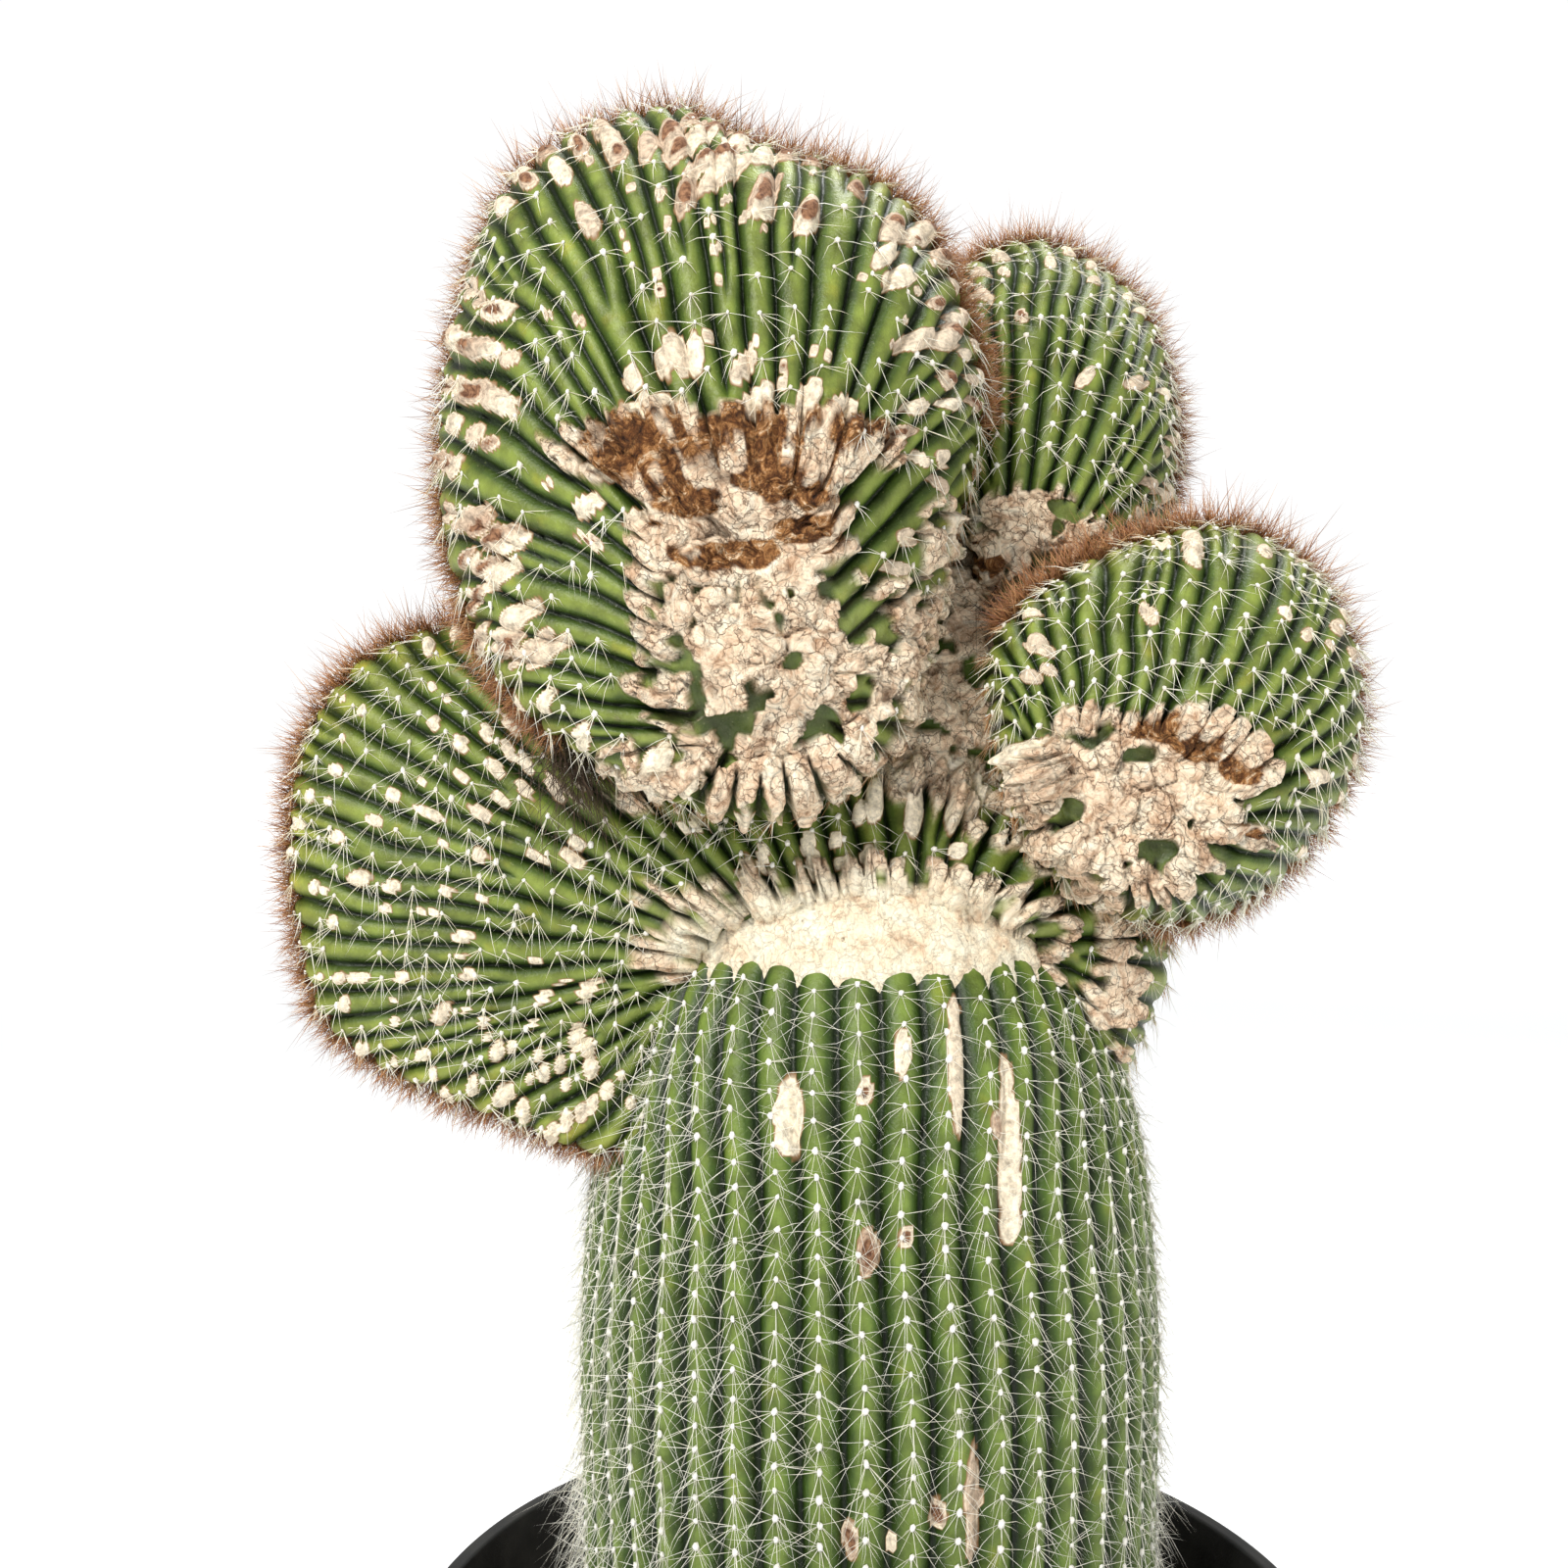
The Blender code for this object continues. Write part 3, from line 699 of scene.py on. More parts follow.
def grow_cap(material):
    """Pale callus dome over the lost top of the column."""
    rows, columns = 420, 70
    angle = round_angles(rows)
    tilt = np.linspace(0.0, 1.0, columns)[None, :] * math.pi / 2
    radius = (CAP_RADIUS - 1.5) * np.cos(tilt) ** 0.62
    z = CAP_FOOT + (CAP_HEIGHT - CAP_FOOT) * np.sin(tilt) ** 1.05
    smooth = np.stack([radius * np.sin(angle), -radius * np.cos(angle),
                       np.broadcast_to(z, (rows, columns))], axis=-1)
    normal = unit(smooth * np.array([1, 1, 1.4]))
    lumps, layer = cork_relief(smooth, 1200)
    rim = smoothstep(14.0, 24.0, smooth[..., 2])
    lumps = (0.30 + 0.6 * rim) * lumps + 3.4 * (layered_noise(smooth, 20.0, 1210) - 0.5)
    grid = smooth + normal * lumps[..., None]
    apex = grid[:, -1].mean(axis=0)
    fields = cork_fields((rows, columns - 1), 1.0, layer[:, :-1])
    fields["pale"] = fields["pale"] + 1.0
    points, corners, sizes = closed_tube(grid[:, :-1], [(0, 0, CAP_FOOT), apex])
    return build_piece("callus_cap", points, corners, sizes, with_ends(fields, 1.0), material)


def grow_heart(material):
    """Corky mass where the folds grew together."""
    rows, columns = 260, 130
    angle = round_angles(rows)
    tilt = np.linspace(-math.pi / 2, math.pi / 2, columns + 2)[1:-1][None, :]
    ball = np.stack([np.sin(angle) * np.cos(tilt), -np.cos(angle) * np.cos(tilt),
                     np.broadcast_to(np.sin(tilt), (rows, columns))], axis=-1)
    smooth = np.array(HEART_CENTRE) + ball * np.array(HEART_RADII)
    lumps, layer = cork_relief(smooth, 1300)
    islands = layered_noise(swirled(smooth, 6.0, 1330), 9.0, 1310, 2)
    islands = smoothstep(0.60, 0.64, islands)
    lumps = lumps * (1 - islands) - 1.5 * islands
    grid = smooth + unit(ball / np.array(HEART_RADII)) * lumps[..., None]
    fields = cork_fields((rows, columns), 1 - islands, layer)
    fields["ridge"] = fields["ridge"] + 0.8
    points, corners, sizes = closed_tube(grid, [grid[:, 0].mean(axis=0), grid[:, -1].mean(axis=0)])
    return build_piece("heart_cork", points, corners, sizes, with_ends(fields, 1.0), material)


# ---- areoles, needles and hair ----

def fold_areoles(name):
    """Share and turn of every areole of a fold, which all sit on ridges."""
    fold, seed = FOLDS[name], fold_seed(name)
    rng = np.random.default_rng(seed + 300)
    turn = np.linspace(0.03, 1.9, 240)
    spacing = fold["spacing"] * (1 - 0.50 * smoothstep(0.55, 0.95, outwardness(turn)))
    shares, turns = [], []
    for index in range(fold["ribs"]):
        pitch = rib_pitch(fold, along_margin(fold, (index + 0.5) / fold["ribs"], turn))
        splits = rib_splits(fold, seed, np.full(len(turn), index + 0.5), pitch)
        for branch in (-1, 1):
            rib = np.full(len(turn), index // 4 * 4 + 2.0)
            centres = (index // 2 * 2 + 1.0, index + 0.5, index + 0.5 + branch * 0.25)
            for split, centre in zip(splits, centres):
                rib = rib * (1 - split) + centre * split
            share = ridge_share(name, rib, turn)
            path = fan_point(fold, share, turn)
            stride = np.linalg.norm(np.diff(path, axis=0), axis=1) / spacing[1:]
            along = np.concatenate(([0.0], np.cumsum(stride)))
            stops = np.arange(rng.uniform(0.0, 1.0), along[-1], 1.0)
            stops = stops + rng.uniform(-0.27, 0.27, len(stops))
            stops = stops[rng.random(len(stops)) < fold["armour"]]
            where = np.interp(stops, along, turn)
            level = sum((np.interp(where, turn, split) > 0.5).astype(int) for split in splits)
            leads = np.array([index % 4 == 0 and branch > 0, index % 2 == 0 and branch > 0,
                              branch > 0, True])
            where = where[leads[level]]
            shares.append(np.interp(where, turn, share))
            turns.append(where)
    return np.concatenate(shares), np.concatenate(turns)


def column_areoles():
    """Rib and height of every areole of the column."""
    rng = np.random.default_rng(77)
    ribs, heights = [], []
    for index in range(COLUMN_RIBS):
        z = np.arange(COLUMN_FOOT + 14 + rng.uniform(0, AREOLE_SPACING), -1.5, AREOLE_SPACING)
        z = z + rng.uniform(-0.9, 0.9, len(z))
        ribs.append(ridge_rib(np.full(len(z), index + 0.5), z))
        heights.append(z)
    return np.concatenate(ribs), np.concatenate(heights)


def grow_wool(name, place, normal, size, tint, material, **solid):
    """Small woolly cushions or crumbs, each a jittered, flattened ball."""
    ball = bmesh.new()
    bmesh.ops.create_icosphere(ball, subdivisions=1, radius=1.0)
    shape = np.array([v.co[:] for v in ball.verts])
    faces = np.array([[v.index for v in f.verts] for f in ball.faces])
    ball.free()
    rng = np.random.default_rng(len(place))
    count = len(place)
    side = unit(np.cross(normal, np.array([0.13, 0.21, 0.97])))
    other = np.cross(normal, side)
    jitter = 1 + rng.uniform(-0.28, 0.28, (count, len(shape), 1))
    local = shape[None] * jitter
    points = (place[:, None] + size[:, None, None] * (side[:, None] * local[..., :1]
              + other[:, None] * local[..., 1:2] * 1.25 + normal[:, None] * local[..., 2:] * 0.7))
    corners = (faces[None] + (np.arange(count) * len(shape))[:, None, None]).ravel()
    sizes = np.full(count * len(faces), 3)
    fields = {"tint": np.repeat(tint, len(shape))}
    return build_piece(name, points.reshape(-1, 3), corners, sizes, fields, material, **solid)


def grow_strands(name, root, way, length, radius, bend, tint, material, steps=2):
    """Tapering three-sided needles or hairs; bend is the sideways pull at the tip."""
    count = len(root)
    side = unit(np.cross(way, np.array([0.31, 0.17, 0.93])))
    other = np.cross(way, side)
    points = []
    for step in range(steps):
        t = step / steps
        centre = root + way * (length * t)[:, None] + bend * (length * t * t)[:, None]
        reach = (radius * (1 - 0.6 * t))[:, None]
        for corner in range(3):
            a = corner * 2 * math.pi / 3
            points.append(centre + reach * (side * math.cos(a) + other * math.sin(a)))
    points.append(root + (way + bend) * length[:, None])
    points = np.stack(points, axis=1)
    per = points.shape[1]
    quads, tips = [], []
    for step in range(steps - 1):
        for corner in range(3):
            after = (corner + 1) % 3
            quads.append([step * 3 + corner, step * 3 + after,
                          step * 3 + 3 + after, step * 3 + 3 + corner])
    last = (steps - 1) * 3
    for corner in range(3):
        tips.append([last + corner, last + (corner + 1) % 3, per - 1])
    tips.append([2, 1, 0])
    shift = (np.arange(count) * per)[:, None, None]
    quads = (np.array(quads)[None] + shift).reshape(-1, 4)
    tips = (np.array(tips)[None] + shift).reshape(-1, 3)
    corners, sizes = pack_faces(quads, tips)
    along = np.concatenate([np.repeat(np.arange(steps) / steps, 3), [1.0]])
    fields = {"tint": np.repeat(tint, per), "along": np.tile(along, count)}
    return build_piece(name, points.reshape(-1, 3), corners, sizes, fields, material)


def radiating(place, normal, spread, lift, droop, curl, rng):
    """Directions that fan out from each place over the skin, most of them downwards."""
    down = unit(np.array([0.0, 0.0, -1.0]) + normal * normal[:, 2:] + 1e-4)
    level = np.cross(normal, down)
    count = len(place)
    swing = np.linspace(-spread, spread, NEEDLES)[None] + rng.normal(0, 0.22, (count, NEEDLES))
    swing = swing + rng.normal(0, 0.25, (count, 1))
    rise = rng.uniform(*lift, (count, NEEDLES))
    way = (down[:, None] * np.cos(swing)[..., None] + level[:, None] * np.sin(swing)[..., None]
           + normal[:, None] * rise[..., None])
    way = unit(way).reshape(-1, 3)
    bend = rng.normal(0, curl, way.shape) - np.array([0, 0, droop])
    return np.repeat(place, NEEDLES, axis=0), way, bend


def grow_fold_armour(name, wool, needles):
    """Areoles, needles and the brush of young needles on a fold's margin."""
    fold = FOLDS[name]
    rng = np.random.default_rng(fold_number(name) + 40)
    share, turn = fold_areoles(name)
    place, normal, fields = fold_skin(name, share, turn)
    keep = (fields["cork"] < 0.5) | (rng.random(len(share)) < 0.05)
    share, turn, place, normal = share[keep], turn[keep], place[keep], normal[keep]
    outward = outwardness(turn)
    size = np.where(outward > 0.8, 0.7, 0.95) * rng.uniform(0.55, 1.15, len(place))
    grow_wool(name + "_wool", place + normal * 0.3, normal, size, rng.random(len(place)) * 0.5, wool)

    root, way, bend = radiating(place, normal, 1.25, (0.10, 0.85), 0.16, 0.12, rng)
    reach = np.repeat(1 - 0.35 * smoothstep(0.75, 0.98, outward), NEEDLES)
    length = rng.uniform(3.5, 14.0, len(root)) * reach
    tint = np.repeat(smoothstep(0.80, 0.98, outward), NEEDLES) * rng.uniform(0.5, 1.0, len(root))
    tint = tint + rng.uniform(0, 0.25, len(root))
    kept = rng.random(len(root)) < 0.75
    grow_strands(name + "_needles", root[kept], way[kept], length[kept],
                 rng.uniform(0.10, 0.17, len(root))[kept], bend[kept], tint[kept], needles)

    count = int(fold["ribs"] * 250 * (fold["brush"][1] - fold["brush"][0]))
    share = rng.uniform(*fold["brush"], count)
    turn = 1.0 + rng.normal(0, 0.055, count)
    root, normal, _ = fold_skin(name, share, turn)
    way = unit(normal + rng.normal(0, 0.45, normal.shape))
    upright = smoothstep(0.2, 0.9, normal[:, 2])
    length = rng.uniform(4.0, 9.5, count) + (6.0 + 5.0 * upright) * rng.random(count) ** 4
    tint = rng.uniform(0.70, 1.40, count)
    bend = rng.normal(0, 0.14, way.shape)
    grow_strands(name + "_brush", root, way, length, rng.uniform(0.11, 0.17, count), bend,
                 tint, needles)


def grow_column_armour(wool, needles):
    """Areoles and long pale needles of the column, in a low and a high piece."""
    rng = np.random.default_rng(61)
    rib, z = column_areoles()
    place, normal, _ = column_skin(rib, z)
    grow_wool("column_wool", place + normal * 0.4, normal, rng.uniform(0.75, 1.15, len(place)),
              rng.random(len(place)) * 0.12, wool)
    root, way, bend = radiating(place, normal, 1.75, (0.10, 0.75), 0.20, 0.20, rng)
    leftward = np.repeat(smoothstep(0, -70, place[:, 0]), NEEDLES)
    length = rng.uniform(5.0, 19.0, len(root)) * (1 + 0.45 * leftward)
    tint = rng.uniform(0.0, 0.14, len(root))
    half = len(root) // 2
    for label, part in (("low", slice(0, half)), ("high", slice(half, None))):
        grow_strands("column_needles_" + label, root[part], way[part], length[part],
                     rng.uniform(0.08, 0.125, len(root[part])), bend[part], tint[part], needles)


def grow_tufts(hair):
    """Dry dark hair that hangs where two folds press together."""
    rng = np.random.default_rng(91)
    tufts = [((-91, -58, 66), (13, 5, 9), 240, (10, 26), (0.1, -0.35, -1.0), 1.0),
             ((34, -14, 176), (4, 6, 26), 260, (6, 14), (0.2, -0.9, -0.5), 0.55),
             ((40, -34, 106), (7, 5, 9), 170, (6, 15), (0.0, -0.8, -0.4), 1.0)]
    parts = []
    for centre, spread, count, lengths, aim, darkness in tufts:
        root = np.array(centre) + rng.normal(0, 0.5, (count, 3)) * np.array(spread)
        way = unit(np.array(aim) + rng.normal(0, 0.45, (count, 3)))
        bend = rng.normal(0, 0.35, (count, 3)) - np.array([0, 0, 0.25])
        parts.append((root, way, rng.uniform(*lengths, count), bend,
                      np.full(count, darkness) + rng.uniform(-0.2, 0.1, count)))
    root, way, length, bend, tint = (np.concatenate(column) for column in zip(*parts))
    grow_strands("dry_hair", root, way, length, np.full(len(root), 0.14), bend, tint, hair,
                 steps=5)


# ---- pot and mix ----

def turned_piece(name, profile, steps, material, node):
    """Turn a profile of (radius, height), in metres, that starts and ends on the axis."""
    profile = np.asarray(profile, float)
    inner = profile[1:-1]
    angle = round_angles(steps)
    grid = np.stack([inner[:, 0] * np.cos(angle), inner[:, 0] * np.sin(angle),
                     np.broadcast_to(inner[:, 1], (steps, len(inner)))], axis=-1)
    points, corners, sizes = closed_tube(grid, [(0, 0, profile[0, 1]), (0, 0, profile[-1, 1])])
    return build_world_piece(name, points, corners, sizes, {}, material, node)


def rounded(corners, radius, count=5):
    """Profile whose inner corners are rounded off."""
    corners = [np.array(c, float) for c in corners]
    out = [corners[0]]
    for before, here, after in zip(corners, corners[1:], corners[2:]):
        back, ahead = before - here, after - here
        reach = min(radius, np.linalg.norm(back) * 0.45, np.linalg.norm(ahead) * 0.45)
        start = here + unit(back) * reach
        end = here + unit(ahead) * reach
        for i in range(count + 1):
            t = i / count
            out.append(start * (1 - t) ** 2 + here * 2 * t * (1 - t) + end * t ** 2)
    out.append(corners[-1])
    return out


def make_pot(material):
    """Moulded nursery pot: tapered wall with a raised hoop, rim band and drain holes."""
    rim, height, wall, floor = POT_HIGH.x, POT_HIGH.z, 0.0025, 0.003
    foot, band, step, hoop = 0.118, 0.024, 0.003, 0.0008
    side = rim - step

    def outer(z):
        return foot + (side - foot) * z / height

    band_foot = height - band - 0.004
    profile = rounded([(0.0, 0.0), (foot - 0.008, 0.0), (foot + 0.0006, 0.006),
                       (outer(0.06), 0.06), (outer(0.063) + hoop, 0.063),
                       (outer(0.069) + hoop, 0.069), (outer(0.072), 0.072),
                       (outer(band_foot), band_foot), (rim, height - band), (rim, height),
                       (outer(height) - wall, height), (outer(floor) - wall, floor),
                       (0.0, floor)], 0.0016)
    pot = turned_piece("pot_shell", profile, 200, material, "pot")
    drills = bmesh.new()
    drain_count, drain_radius, drain_circle = 8, 0.008, 0.078
    for i in range(drain_count):
        angle = 2 * math.pi * (i + 0.5) / drain_count
        made = bmesh.ops.create_cone(drills, cap_ends=True, segments=40, radius1=drain_radius,
                                     radius2=drain_radius, depth=0.02)
        place = (drain_circle * math.cos(angle), drain_circle * math.sin(angle), 0.0)
        bmesh.ops.translate(drills, verts=made["verts"], vec=place)
    cutter_mesh = bpy.data.meshes.new("drain_drills")
    drills.to_mesh(cutter_mesh)
    drills.free()
    cutter = bpy.data.objects.new("drain_drills", cutter_mesh)
    bpy.context.scene.collection.objects.link(cutter)
    cut = pot.modifiers.new("drain", "BOOLEAN")
    cut.object = cutter
    cut.solver = "EXACT"
    graph = bpy.context.evaluated_depsgraph_get()
    finished = bpy.data.meshes.new_from_object(pot.evaluated_get(graph))
    pot.modifiers.clear()
    pot.data = finished
    bpy.data.objects.remove(cutter)
    finished.shade_smooth()
    finished.set_sharp_from_angle(angle=math.radians(40))
    return pot


def make_mix(material, chips):
    """Gritty potting mix with bark chips and small stones on it."""
    level, edge, foot, inner = MIX_HIGH.z, MIX_HIGH.x - 0.0015, 0.117, 0.060
    rows, columns = 300, 60
    angle = round_angles(rows)
    radius = np.linspace(edge, inner, columns)[None, :]
    flat = np.stack([radius * np.cos(angle), radius * np.sin(angle),
                     np.full((rows, columns), level - 0.003)], axis=-1)
    grain = layered_noise(flat / MM, 9.0, 1500, 4) - 0.5
    flat[..., 2] += 0.006 * grain
    flat[:, 0, 2] = level - 0.004
    low = MIX_LOW.z + 0.0006
    base = np.stack([foot * np.cos(angle), foot * np.sin(angle),
                     np.full(angle.shape, low)], axis=-1)
    points, corners, sizes = closed_tube(np.concatenate([base, flat], axis=1),
                                         [(0, 0, low), (0, 0, level - 0.004)])
    build_world_piece("mix_bed", points, corners, sizes, {}, material, "potting_mix")
    rng = np.random.default_rng(8)
    count = 900
    spin = rng.uniform(0, 2 * math.pi, count)
    out = np.sqrt(rng.uniform(0.092 ** 2, (edge - 0.005) ** 2, count))
    size = rng.uniform(1.2, 3.6, count) * rng.uniform(0.6, 1.0, count)
    place = np.stack([out * np.cos(spin) / MM, out * np.sin(spin) / MM,
                      np.full(count, (level - 0.0032) / MM - COLUMN_TOP) + size * 0.3], axis=-1)
    lean = unit(np.array([0, 0, 1.0]) + rng.normal(0, 0.5, (count, 3)))
    grow_wool("mix_chips", place, lean, size, rng.random(count), chips,
              node="potting_mix", slot="potting_mix")


# ---- materials ----

class Paint:
    """Short names for wiring one procedural material; sizes are in millimetres."""

    def __init__(self, name, **numbers):
        self.material = bpy.data.materials.new(name)
        self.material.use_nodes = True
        self.tree = self.material.node_tree
        self.shader = self.tree.nodes["Principled BSDF"]
        for socket, value in numbers.items():
            self.shader.inputs[socket.replace("_", " ")].default_value = value
        self.place = self.tree.nodes.new("ShaderNodeTexCoord").outputs["Object"]

    def put(self, socket, value):
        """Wire an output to a socket, or set its number or colour."""
        if isinstance(value, bpy.types.NodeSocket):
            self.tree.links.new(value, socket)
        elif isinstance(value, tuple):
            socket.default_value = (*value, 1.0)
        elif socket.type == "RGBA":
            socket.default_value = (value, value, value, 1.0)
        else:
            socket.default_value = value

    def field(self, name):
        """Number that the mesh carries at each point."""
        node = self.tree.nodes.new("ShaderNodeAttribute")
        node.attribute_name = name
        return node.outputs["Fac"]

    def noise(self, size, detail=3.0, roughness=0.55, distortion=0.0):
        node = self.tree.nodes.new("ShaderNodeTexNoise")
        self.put(node.inputs["Vector"], self.place)
        node.inputs["Scale"].default_value = 1 / (size * MM)
        node.inputs["Detail"].default_value = detail
        node.inputs["Roughness"].default_value = roughness
        node.inputs["Distortion"].default_value = distortion
        return node.outputs["Fac"]

    def crack(self, size):
        """Distance to the nearest crack of an irregular net."""
        swirl = self.tree.nodes.new("ShaderNodeTexNoise")
        self.put(swirl.inputs["Vector"], self.place)
        swirl.inputs["Scale"].default_value = 1 / (size * MM)
        swirl.inputs["Detail"].default_value = 4.0
        shift = self.tree.nodes.new("ShaderNodeVectorMath")
        shift.operation = "MULTIPLY_ADD"
        self.put(shift.inputs[0], swirl.outputs["Color"])
        shift.inputs[1].default_value = (1.6 * size * MM,) * 3
        self.put(shift.inputs[2], self.place)
        node = self.tree.nodes.new("ShaderNodeTexVoronoi")
        node.feature = "DISTANCE_TO_EDGE"
        self.put(node.inputs["Vector"], shift.outputs["Vector"])
        node.inputs["Scale"].default_value = 1 / (size * MM)
        return node.outputs["Distance"]

    def ramp(self, value, *stops):
        """Colour ramp through (position, grey or colour) stops."""
        node = self.tree.nodes.new("ShaderNodeValToRGB")
        self.put(node.inputs["Fac"], value)
        while len(node.color_ramp.elements) < len(stops):
            node.color_ramp.elements.new(0.5)
        for element, (position, colour) in zip(node.color_ramp.elements, stops):
            element.position = position
            element.color = (*colour, 1.0) if isinstance(colour, tuple) else (colour,) * 3 + (1.0,)
        return node.outputs["Color"]

    def mix(self, factor, first, second, mode="MIX"):
        node = self.tree.nodes.new("ShaderNodeMix")
        node.data_type = "RGBA"
        node.blend_type = mode
        node.clamp_factor = True
        self.put(node.inputs["Factor"], factor)
        self.put(node.inputs[6], first)
        self.put(node.inputs[7], second)
        return node.outputs[2]

    def multiply(self, colour, by, factor=1.0):
        """Colour multiplied by another one, as far as factor says."""
        return self.mix(factor, colour, by, "MULTIPLY")

    def times(self, first, second):
        """Product of two numbers."""
        return self.calc("MULTIPLY", first, second)

    def calc(self, operation, first, second=0.0):
        node = self.tree.nodes.new("ShaderNodeMath")
        node.operation = operation
        self.put(node.inputs[0], first)
        self.put(node.inputs[1], second)
        return node.outputs[0]

    def bump(self, height, distance, strength=1.0):
        node = self.tree.nodes.new("ShaderNodeBump")
        node.inputs["Strength"].default_value = strength
        node.inputs["Distance"].default_value = distance * MM
        self.put(node.inputs["Height"], height)
        self.put(self.shader.inputs["Normal"], node.outputs["Normal"])

    def finish(self, colour, roughness):
        self.put(self.shader.inputs["Base Color"], colour)
        self.put(self.shader.inputs["Roughness"], roughness)
        return self.material


def skin_material():
    """Green skin, cork, rust and scars, told apart by the fields grown on the mesh; the colour also
    holds painted shade in the rib grooves and in the cork's cracks, pits and low layers.
    """
    paint = Paint("cactus_skin_paint", Specular_IOR_Level=0.26)
    ridge, cork, rust = paint.field("ridge"), paint.field("cork"), paint.field("rust")
    young, layer, paleness = paint.field("young"), paint.field("layer"), paint.field("pale")
    scar, tone = paint.field("scar"), paint.field("scar_tone")
    # Both green ramps run from near black in the grooves to lightest on the rib backs: painted groove
    # shade in the skin's colour.
    flank_with_groove_shade = paint.ramp(ridge, (0.0, (0.001, 0.003, 0.001)), (0.50, (0.008, 0.018, 0.002)),
                       (0.82, (0.052, 0.086, 0.011)), (1.0, (0.165, 0.208, 0.038)))
    fresh_with_groove_shade = paint.ramp(ridge, (0.0, (0.003, 0.005, 0.001)), (0.52, (0.032, 0.050, 0.004)),
                       (0.82, (0.132, 0.156, 0.014)), (1.0, (0.310, 0.310, 0.054)))
    age = paint.times(young, paint.ramp(paint.noise(34, 2), (0.38, 0.15), (0.60, 1.0)))
    green = paint.mix(age, flank_with_groove_shade, fresh_with_groove_shade)
    patchy = paint.ramp(paint.noise(8, 4), (0.30, 0.58), (0.70, 1.38))
    green = paint.multiply(green, patchy)
    specks = paint.ramp(paint.noise(1.1, 2), (0.66, 0.0), (0.74, 1.0))
    green = paint.mix(paint.times(specks, 0.25), green, (0.33, 0.36, 0.16))
    green = paint.multiply(green, (0.78, 0.88, 0.86), paint.field("old"))
    yellowed = paint.ramp(paint.noise(13, 3), (0.60, 0.0), (0.72, 0.5))
    green = paint.multiply(green, (1.7, 1.25, 0.6), yellowed)

    layers = paint.calc("FRACT", paint.times(layer, float(CORK_STEPS)))
    contour = paint.ramp(layers, (0.0, 0.42), (0.24, 1.0), (0.80, 0.97), (1.0, 0.72))
    contour = paint.mix(paint.ramp(paint.noise(10, 3), (0.40, 0.25), (0.56, 1.0)), 1.0, contour)
    fine = paint.calc("FRACT", paint.times(paint.noise(7, 4, 0.6, 1.4), 8.0))
    fine = paint.ramp(fine, (0.0, 0.66), (0.18, 1.0), (0.85, 0.97), (1.0, 0.82))
    cream = paint.ramp(paint.noise(7, 6, 0.7, 0.8), (0.30, (0.38, 0.20, 0.10)),
                       (0.43, (0.74, 0.53, 0.36)), (0.53, (0.92, 0.75, 0.55)),
                       (0.66, (0.96, 0.88, 0.71)))
    pale = paint.ramp(paint.noise(8, 6, 0.68), (0.30, (0.66, 0.45, 0.29)), (0.44, (0.90, 0.75, 0.54)),
                      (0.60, (0.96, 0.89, 0.70)))
    cream = paint.mix(paleness, cream, pale)
    brown = paint.ramp(paint.noise(6, 6, 0.72, 1.6), (0.34, (0.020, 0.007, 0.003)),
                       (0.46, (0.14, 0.050, 0.013)), (0.56, (0.40, 0.19, 0.065)),
                       (0.66, (0.80, 0.62, 0.42)))
    bark = paint.mix(rust, cream, brown)
    bark = paint.multiply(bark, paint.multiply(contour, fine), paint.mix(paleness, 0.95, 0.45))
    # Painted shade on the cork: darker along the cracks except where noise or paleness spares them, in
    # small pits (holes) and on the lowest layers (depth), mixed towards a dark brown.
    thin = paint.ramp(paint.crack(4.0), (0.0, 0.0), (0.045, 1.0))
    crack_shade_free = paint.calc("MAXIMUM", paint.ramp(paint.noise(9, 3), (0.38, 1.0), (0.52, 0.0)),
                       paint.times(paleness, 0.7))
    crack_shade_mask = paint.calc("MAXIMUM", thin, crack_shade_free)
    holes = paint.ramp(paint.noise(2.4, 4, 0.65), (0.28, 0.0), (0.36, 1.0))
    depth = paint.ramp(layer, (0.24, 0.10), (0.46, 1.0))
    shade = paint.multiply(paint.multiply(crack_shade_mask, holes), depth)
    bark = paint.mix(shade, paint.mix(0.80, bark, (0.100, 0.042, 0.015)), bark)

    plate = paint.mix(tone, (0.90, 0.80, 0.62), (0.42, 0.28, 0.19))
    plate = paint.multiply(plate, paint.ramp(paint.noise(2.4, 5, 0.7), (0.32, 0.50), (0.60, 1.15)))
    rings = paint.calc("FRACT", paint.calc("ADD", paint.times(scar, 3.4),
                                           paint.times(paint.noise(3, 2), 1.2)))
    rings = paint.ramp(rings, (0.0, 0.40), (0.30, 1.0), (0.85, 0.96), (1.0, 0.56))
    plate = paint.multiply(plate, rings, paint.mix(tone, 0.35, 0.85))
    heart = paint.ramp(paint.noise(1.5, 4), (0.35, (0.085, 0.034, 0.018)), (0.65, (0.31, 0.16, 0.085)))
    plate = paint.mix(paint.ramp(scar, (0.74, 0.0), (0.84, 1.0)), plate, heart)
    edge = paint.mix(paint.ramp(scar, (0.08, 0.0), (0.22, 1.0)), (0.24, 0.130, 0.055), plate)
    colour = paint.mix(paint.ramp(scar, (0.02, 0.0), (0.08, 1.0)), green, edge)
    colour = paint.mix(cork, colour, bark)

    grain = paint.calc("ADD", paint.times(paint.noise(0.9, 3), 0.25),
                       paint.times(cork, paint.noise(2.4, 6, 0.75)))
    steps = paint.times(paint.times(fine, cork), 0.5)
    crevice = paint.times(paint.times(crack_shade_mask, cork), 0.5)
    paint.bump(paint.calc("ADD", grain, paint.calc("ADD", steps, crevice)), 1.2, 0.9)
    dry = paint.calc("MAXIMUM", cork, paint.ramp(scar, (0.02, 0.0), (0.2, 1.0)))
    roughness = paint.ramp(dry, (0.0, 0.40), (1.0, 0.88))
    return paint.finish(colour, roughness)


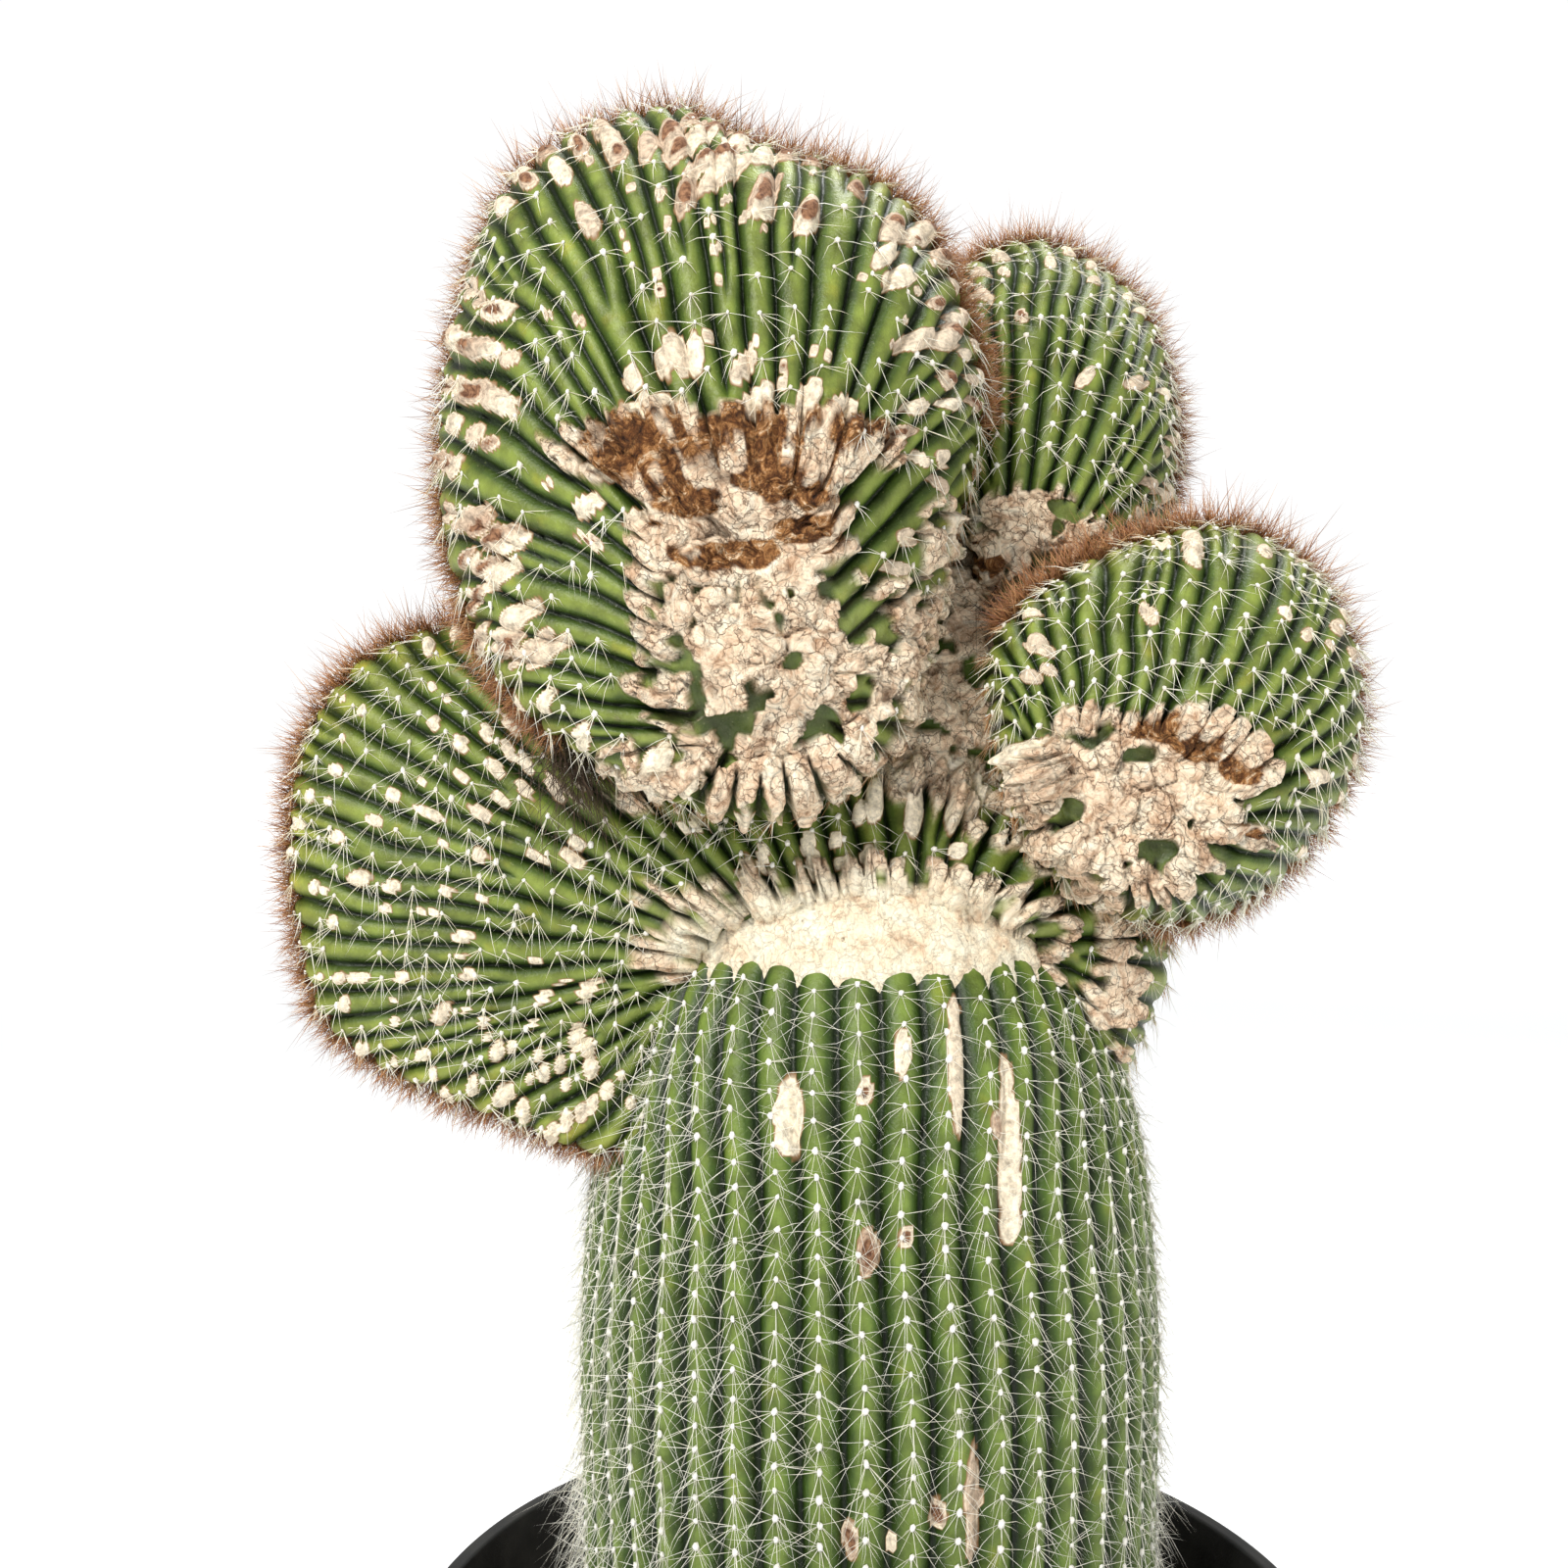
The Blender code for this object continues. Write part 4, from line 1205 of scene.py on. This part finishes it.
def wool_material():
    """White wool, browner where tint is higher."""
    paint = Paint("areole_wool", Sheen_Weight=0.4, Sheen_Roughness=0.6)
    tuft = paint.ramp(paint.noise(0.5, 3), (0.3, (0.76, 0.73, 0.64)), (0.7, (0.97, 0.97, 0.94)))
    aged = paint.mix(paint.field("tint"), tuft, (0.62, 0.50, 0.34))
    paint.bump(paint.noise(0.4, 3), 0.3)
    return paint.finish(aged, paint.ramp(paint.noise(1, 2), (0.3, 0.85), (0.7, 0.98)))


def needle_material():
    """White needles, reddish brown where tint is 1 or more."""
    paint = Paint("needles", Specular_IOR_Level=0.45)
    tint = paint.times(paint.field("tint"), 0.7)
    body = paint.ramp(tint, (0.0, (0.95, 0.94, 0.86)), (0.18, (0.86, 0.79, 0.58)),
                      (0.45, (0.60, 0.34, 0.15)), (0.72, (0.40, 0.165, 0.06)),
                      (0.95, (0.20, 0.075, 0.035)))
    mottled = paint.ramp(paint.noise(3, 3), (0.3, 0.86), (0.7, 1.08))
    return paint.finish(paint.multiply(body, mottled),
                        paint.ramp(paint.noise(2, 2), (0.3, 0.35), (0.7, 0.6)))


def hair_material():
    """Dry hair, darker where tint is higher."""
    paint = Paint("dry_hair_paint", Specular_IOR_Level=0.3)
    dark = paint.ramp(paint.noise(6, 3), (0.3, (0.020, 0.012, 0.008)), (0.7, (0.075, 0.045, 0.028)))
    pale = paint.ramp(paint.noise(6, 3), (0.3, (0.20, 0.13, 0.08)), (0.7, (0.42, 0.30, 0.20)))
    return paint.finish(paint.mix(paint.field("tint"), pale, dark),
                        paint.ramp(paint.noise(4, 2), (0.3, 0.6), (0.7, 0.8)))


def pot_material():
    """Black plastic with dust and scuffs."""
    paint = Paint("pot_plastic_paint", Specular_IOR_Level=0.45)
    dust = paint.ramp(paint.noise(26, 6, 0.65), (0.44, 0.0), (0.72, 1.0))
    scuff = paint.ramp(paint.noise(2.2, 5, 0.7), (0.60, 0.0), (0.74, 1.0))
    base = paint.ramp(paint.noise(60, 3), (0.3, (0.0065, 0.0068, 0.0065)),
                      (0.7, (0.013, 0.0135, 0.013)))
    colour = paint.mix(paint.times(dust, 0.10), base, (0.20, 0.18, 0.14))
    colour = paint.mix(paint.times(scuff, 0.10), colour, (0.12, 0.12, 0.115))
    paint.bump(paint.calc("ADD", paint.noise(0.7, 2), paint.times(scuff, 0.4)), 0.12, 0.7)
    return paint.finish(colour, paint.ramp(dust, (0.0, 0.44), (1.0, 0.66)))


def mix_material(name, bright):
    """Dark earth; bright is how much its lightest parts are lifted."""
    paint = Paint(name, Specular_IOR_Level=0.2)
    earth = paint.ramp(paint.noise(2.6, 6, 0.7), (0.30, (0.010, 0.006, 0.004)),
                       (0.52, (0.048, 0.028, 0.017)), (0.68, (0.13, 0.085, 0.052)),
                       (0.85, (0.34, 0.29, 0.24)))
    lift = paint.ramp(paint.noise(7, 1), (0.35, 0.5), (0.65, bright))
    paint.bump(paint.noise(1.3, 5, 0.7), 1.0, 0.9)
    return paint.finish(paint.multiply(earth, lift),
                        paint.ramp(paint.noise(3, 2), (0.3, 0.85), (0.7, 1.0)))


# ---- stage, light and camera ----

def make_stage():
    """Wide pale floor that curves up far from the object."""
    paint = Paint("stage_white", Specular_IOR_Level=0.1, Emission_Color=(0.97, 0.985, 1.0, 1.0),
                  Emission_Strength=0.47)
    white = paint.ramp(paint.noise(900, 2), (0.3, (0.90, 0.905, 0.91)), (0.7, (0.93, 0.93, 0.93)))
    material = paint.finish(white, paint.ramp(paint.noise(400, 2), (0.3, 0.85), (0.7, 0.95)))
    steps, bend, reach, curve = 96, 10, 4.0, 0.6
    profile = [(0.5 * i, 0.0) for i in range(1, 9)]
    profile += [(reach + curve * math.sin(a), curve - curve * math.cos(a))
                for a in np.linspace(0, math.pi / 2, bend)]
    stage = bmesh.new()
    rings = []
    for radius, height in profile:
        rings.append([stage.verts.new((radius * math.cos(2 * math.pi * i / steps),
                                       radius * math.sin(2 * math.pi * i / steps), height))
                      for i in range(steps)])
    centre = stage.verts.new((0, 0, 0))
    for i in range(steps):
        after = (i + 1) % steps
        stage.faces.new((centre, rings[0][i], rings[0][after]))
        for low, high in zip(rings, rings[1:]):
            stage.faces.new((low[i], high[i], high[after], low[after]))
    mesh = bpy.data.meshes.new("floor")
    stage.to_mesh(mesh)
    stage.free()
    mesh.shade_smooth()
    mesh.materials.append(material)
    floor = bpy.data.objects.new("floor", mesh)
    bpy.context.scene.collection.objects.link(floor)


def add_light(name, place, target, width, power, colour):
    """Round soft light that shines at the target."""
    data = bpy.data.lights.new(name, "AREA")
    data.shape = "DISK"
    data.size = width
    data.energy = power
    data.color = colour
    light = bpy.data.objects.new(name, data)
    light.location = place
    light.rotation_euler = (Vector(target) - Vector(place)).to_track_quat("-Z", "Y").to_euler()
    bpy.context.scene.collection.objects.link(light)


def light_scene():
    """White studio wall all round, with a key, a fill and a top light."""
    world = bpy.data.worlds.new("studio")
    world.use_nodes = True
    tree = world.node_tree
    background = tree.nodes["Background"]
    background.inputs["Color"].default_value = (1.0, 1.0, 1.0, 1.0)
    # the wall is pure white to the camera, and dimmer as a light
    ray = tree.nodes.new("ShaderNodeLightPath")
    strength = tree.nodes.new("ShaderNodeMapRange")
    strength.inputs["To Min"].default_value = WALL_LIGHT
    strength.inputs["To Max"].default_value = WALL_WHITE
    tree.links.new(ray.outputs["Is Camera Ray"], strength.inputs["Value"])
    tree.links.new(strength.outputs["Result"], background.inputs["Strength"])
    bpy.context.scene.world = world
    middle = (0.0, 0.0, 0.5)
    add_light("key", (-1.0, -1.5, 2.0), middle, 0.6, 54, (1.0, 0.985, 0.95))
    add_light("fill", (1.5, -1.5, 1.1), middle, 1.2, 11, (1.0, 0.98, 0.95))
    add_light("top", (0.3, 0.5, 2.3), middle, 0.8, 22, (1.0, 1.0, 1.0))
    bpy.context.scene.view_settings.view_transform = "Standard"


def place_camera():
    """Level camera in front of the crest, as far away as the plant is from a close observer."""
    data = bpy.data.cameras.new("camera")
    data.sensor_width = 36.0
    data.lens = 35.03
    data.clip_start = 0.02
    data.clip_end = 50.0
    camera = bpy.data.objects.new("camera", data)
    camera.location = (-0.0285, -0.523, 0.565)
    camera.rotation_euler = (math.pi / 2, 0.0, 0.0)
    bpy.context.scene.collection.objects.link(camera)
    bpy.context.scene.camera = camera


def main():
    skin, wool, needles = skin_material(), wool_material(), needle_material()
    grow_column(skin)
    grow_cap(skin)
    grow_heart(skin)
    for name in FOLDS:
        grow_fold(name, skin)
        grow_fold_armour(name, wool, needles)
    grow_column_armour(wool, needles)
    grow_tufts(hair_material())
    make_pot(pot_material())
    make_mix(mix_material("mix_earth", 1.1), mix_material("mix_chips_paint", 2.2))
    make_stage()
    light_scene()
    place_camera()


main()
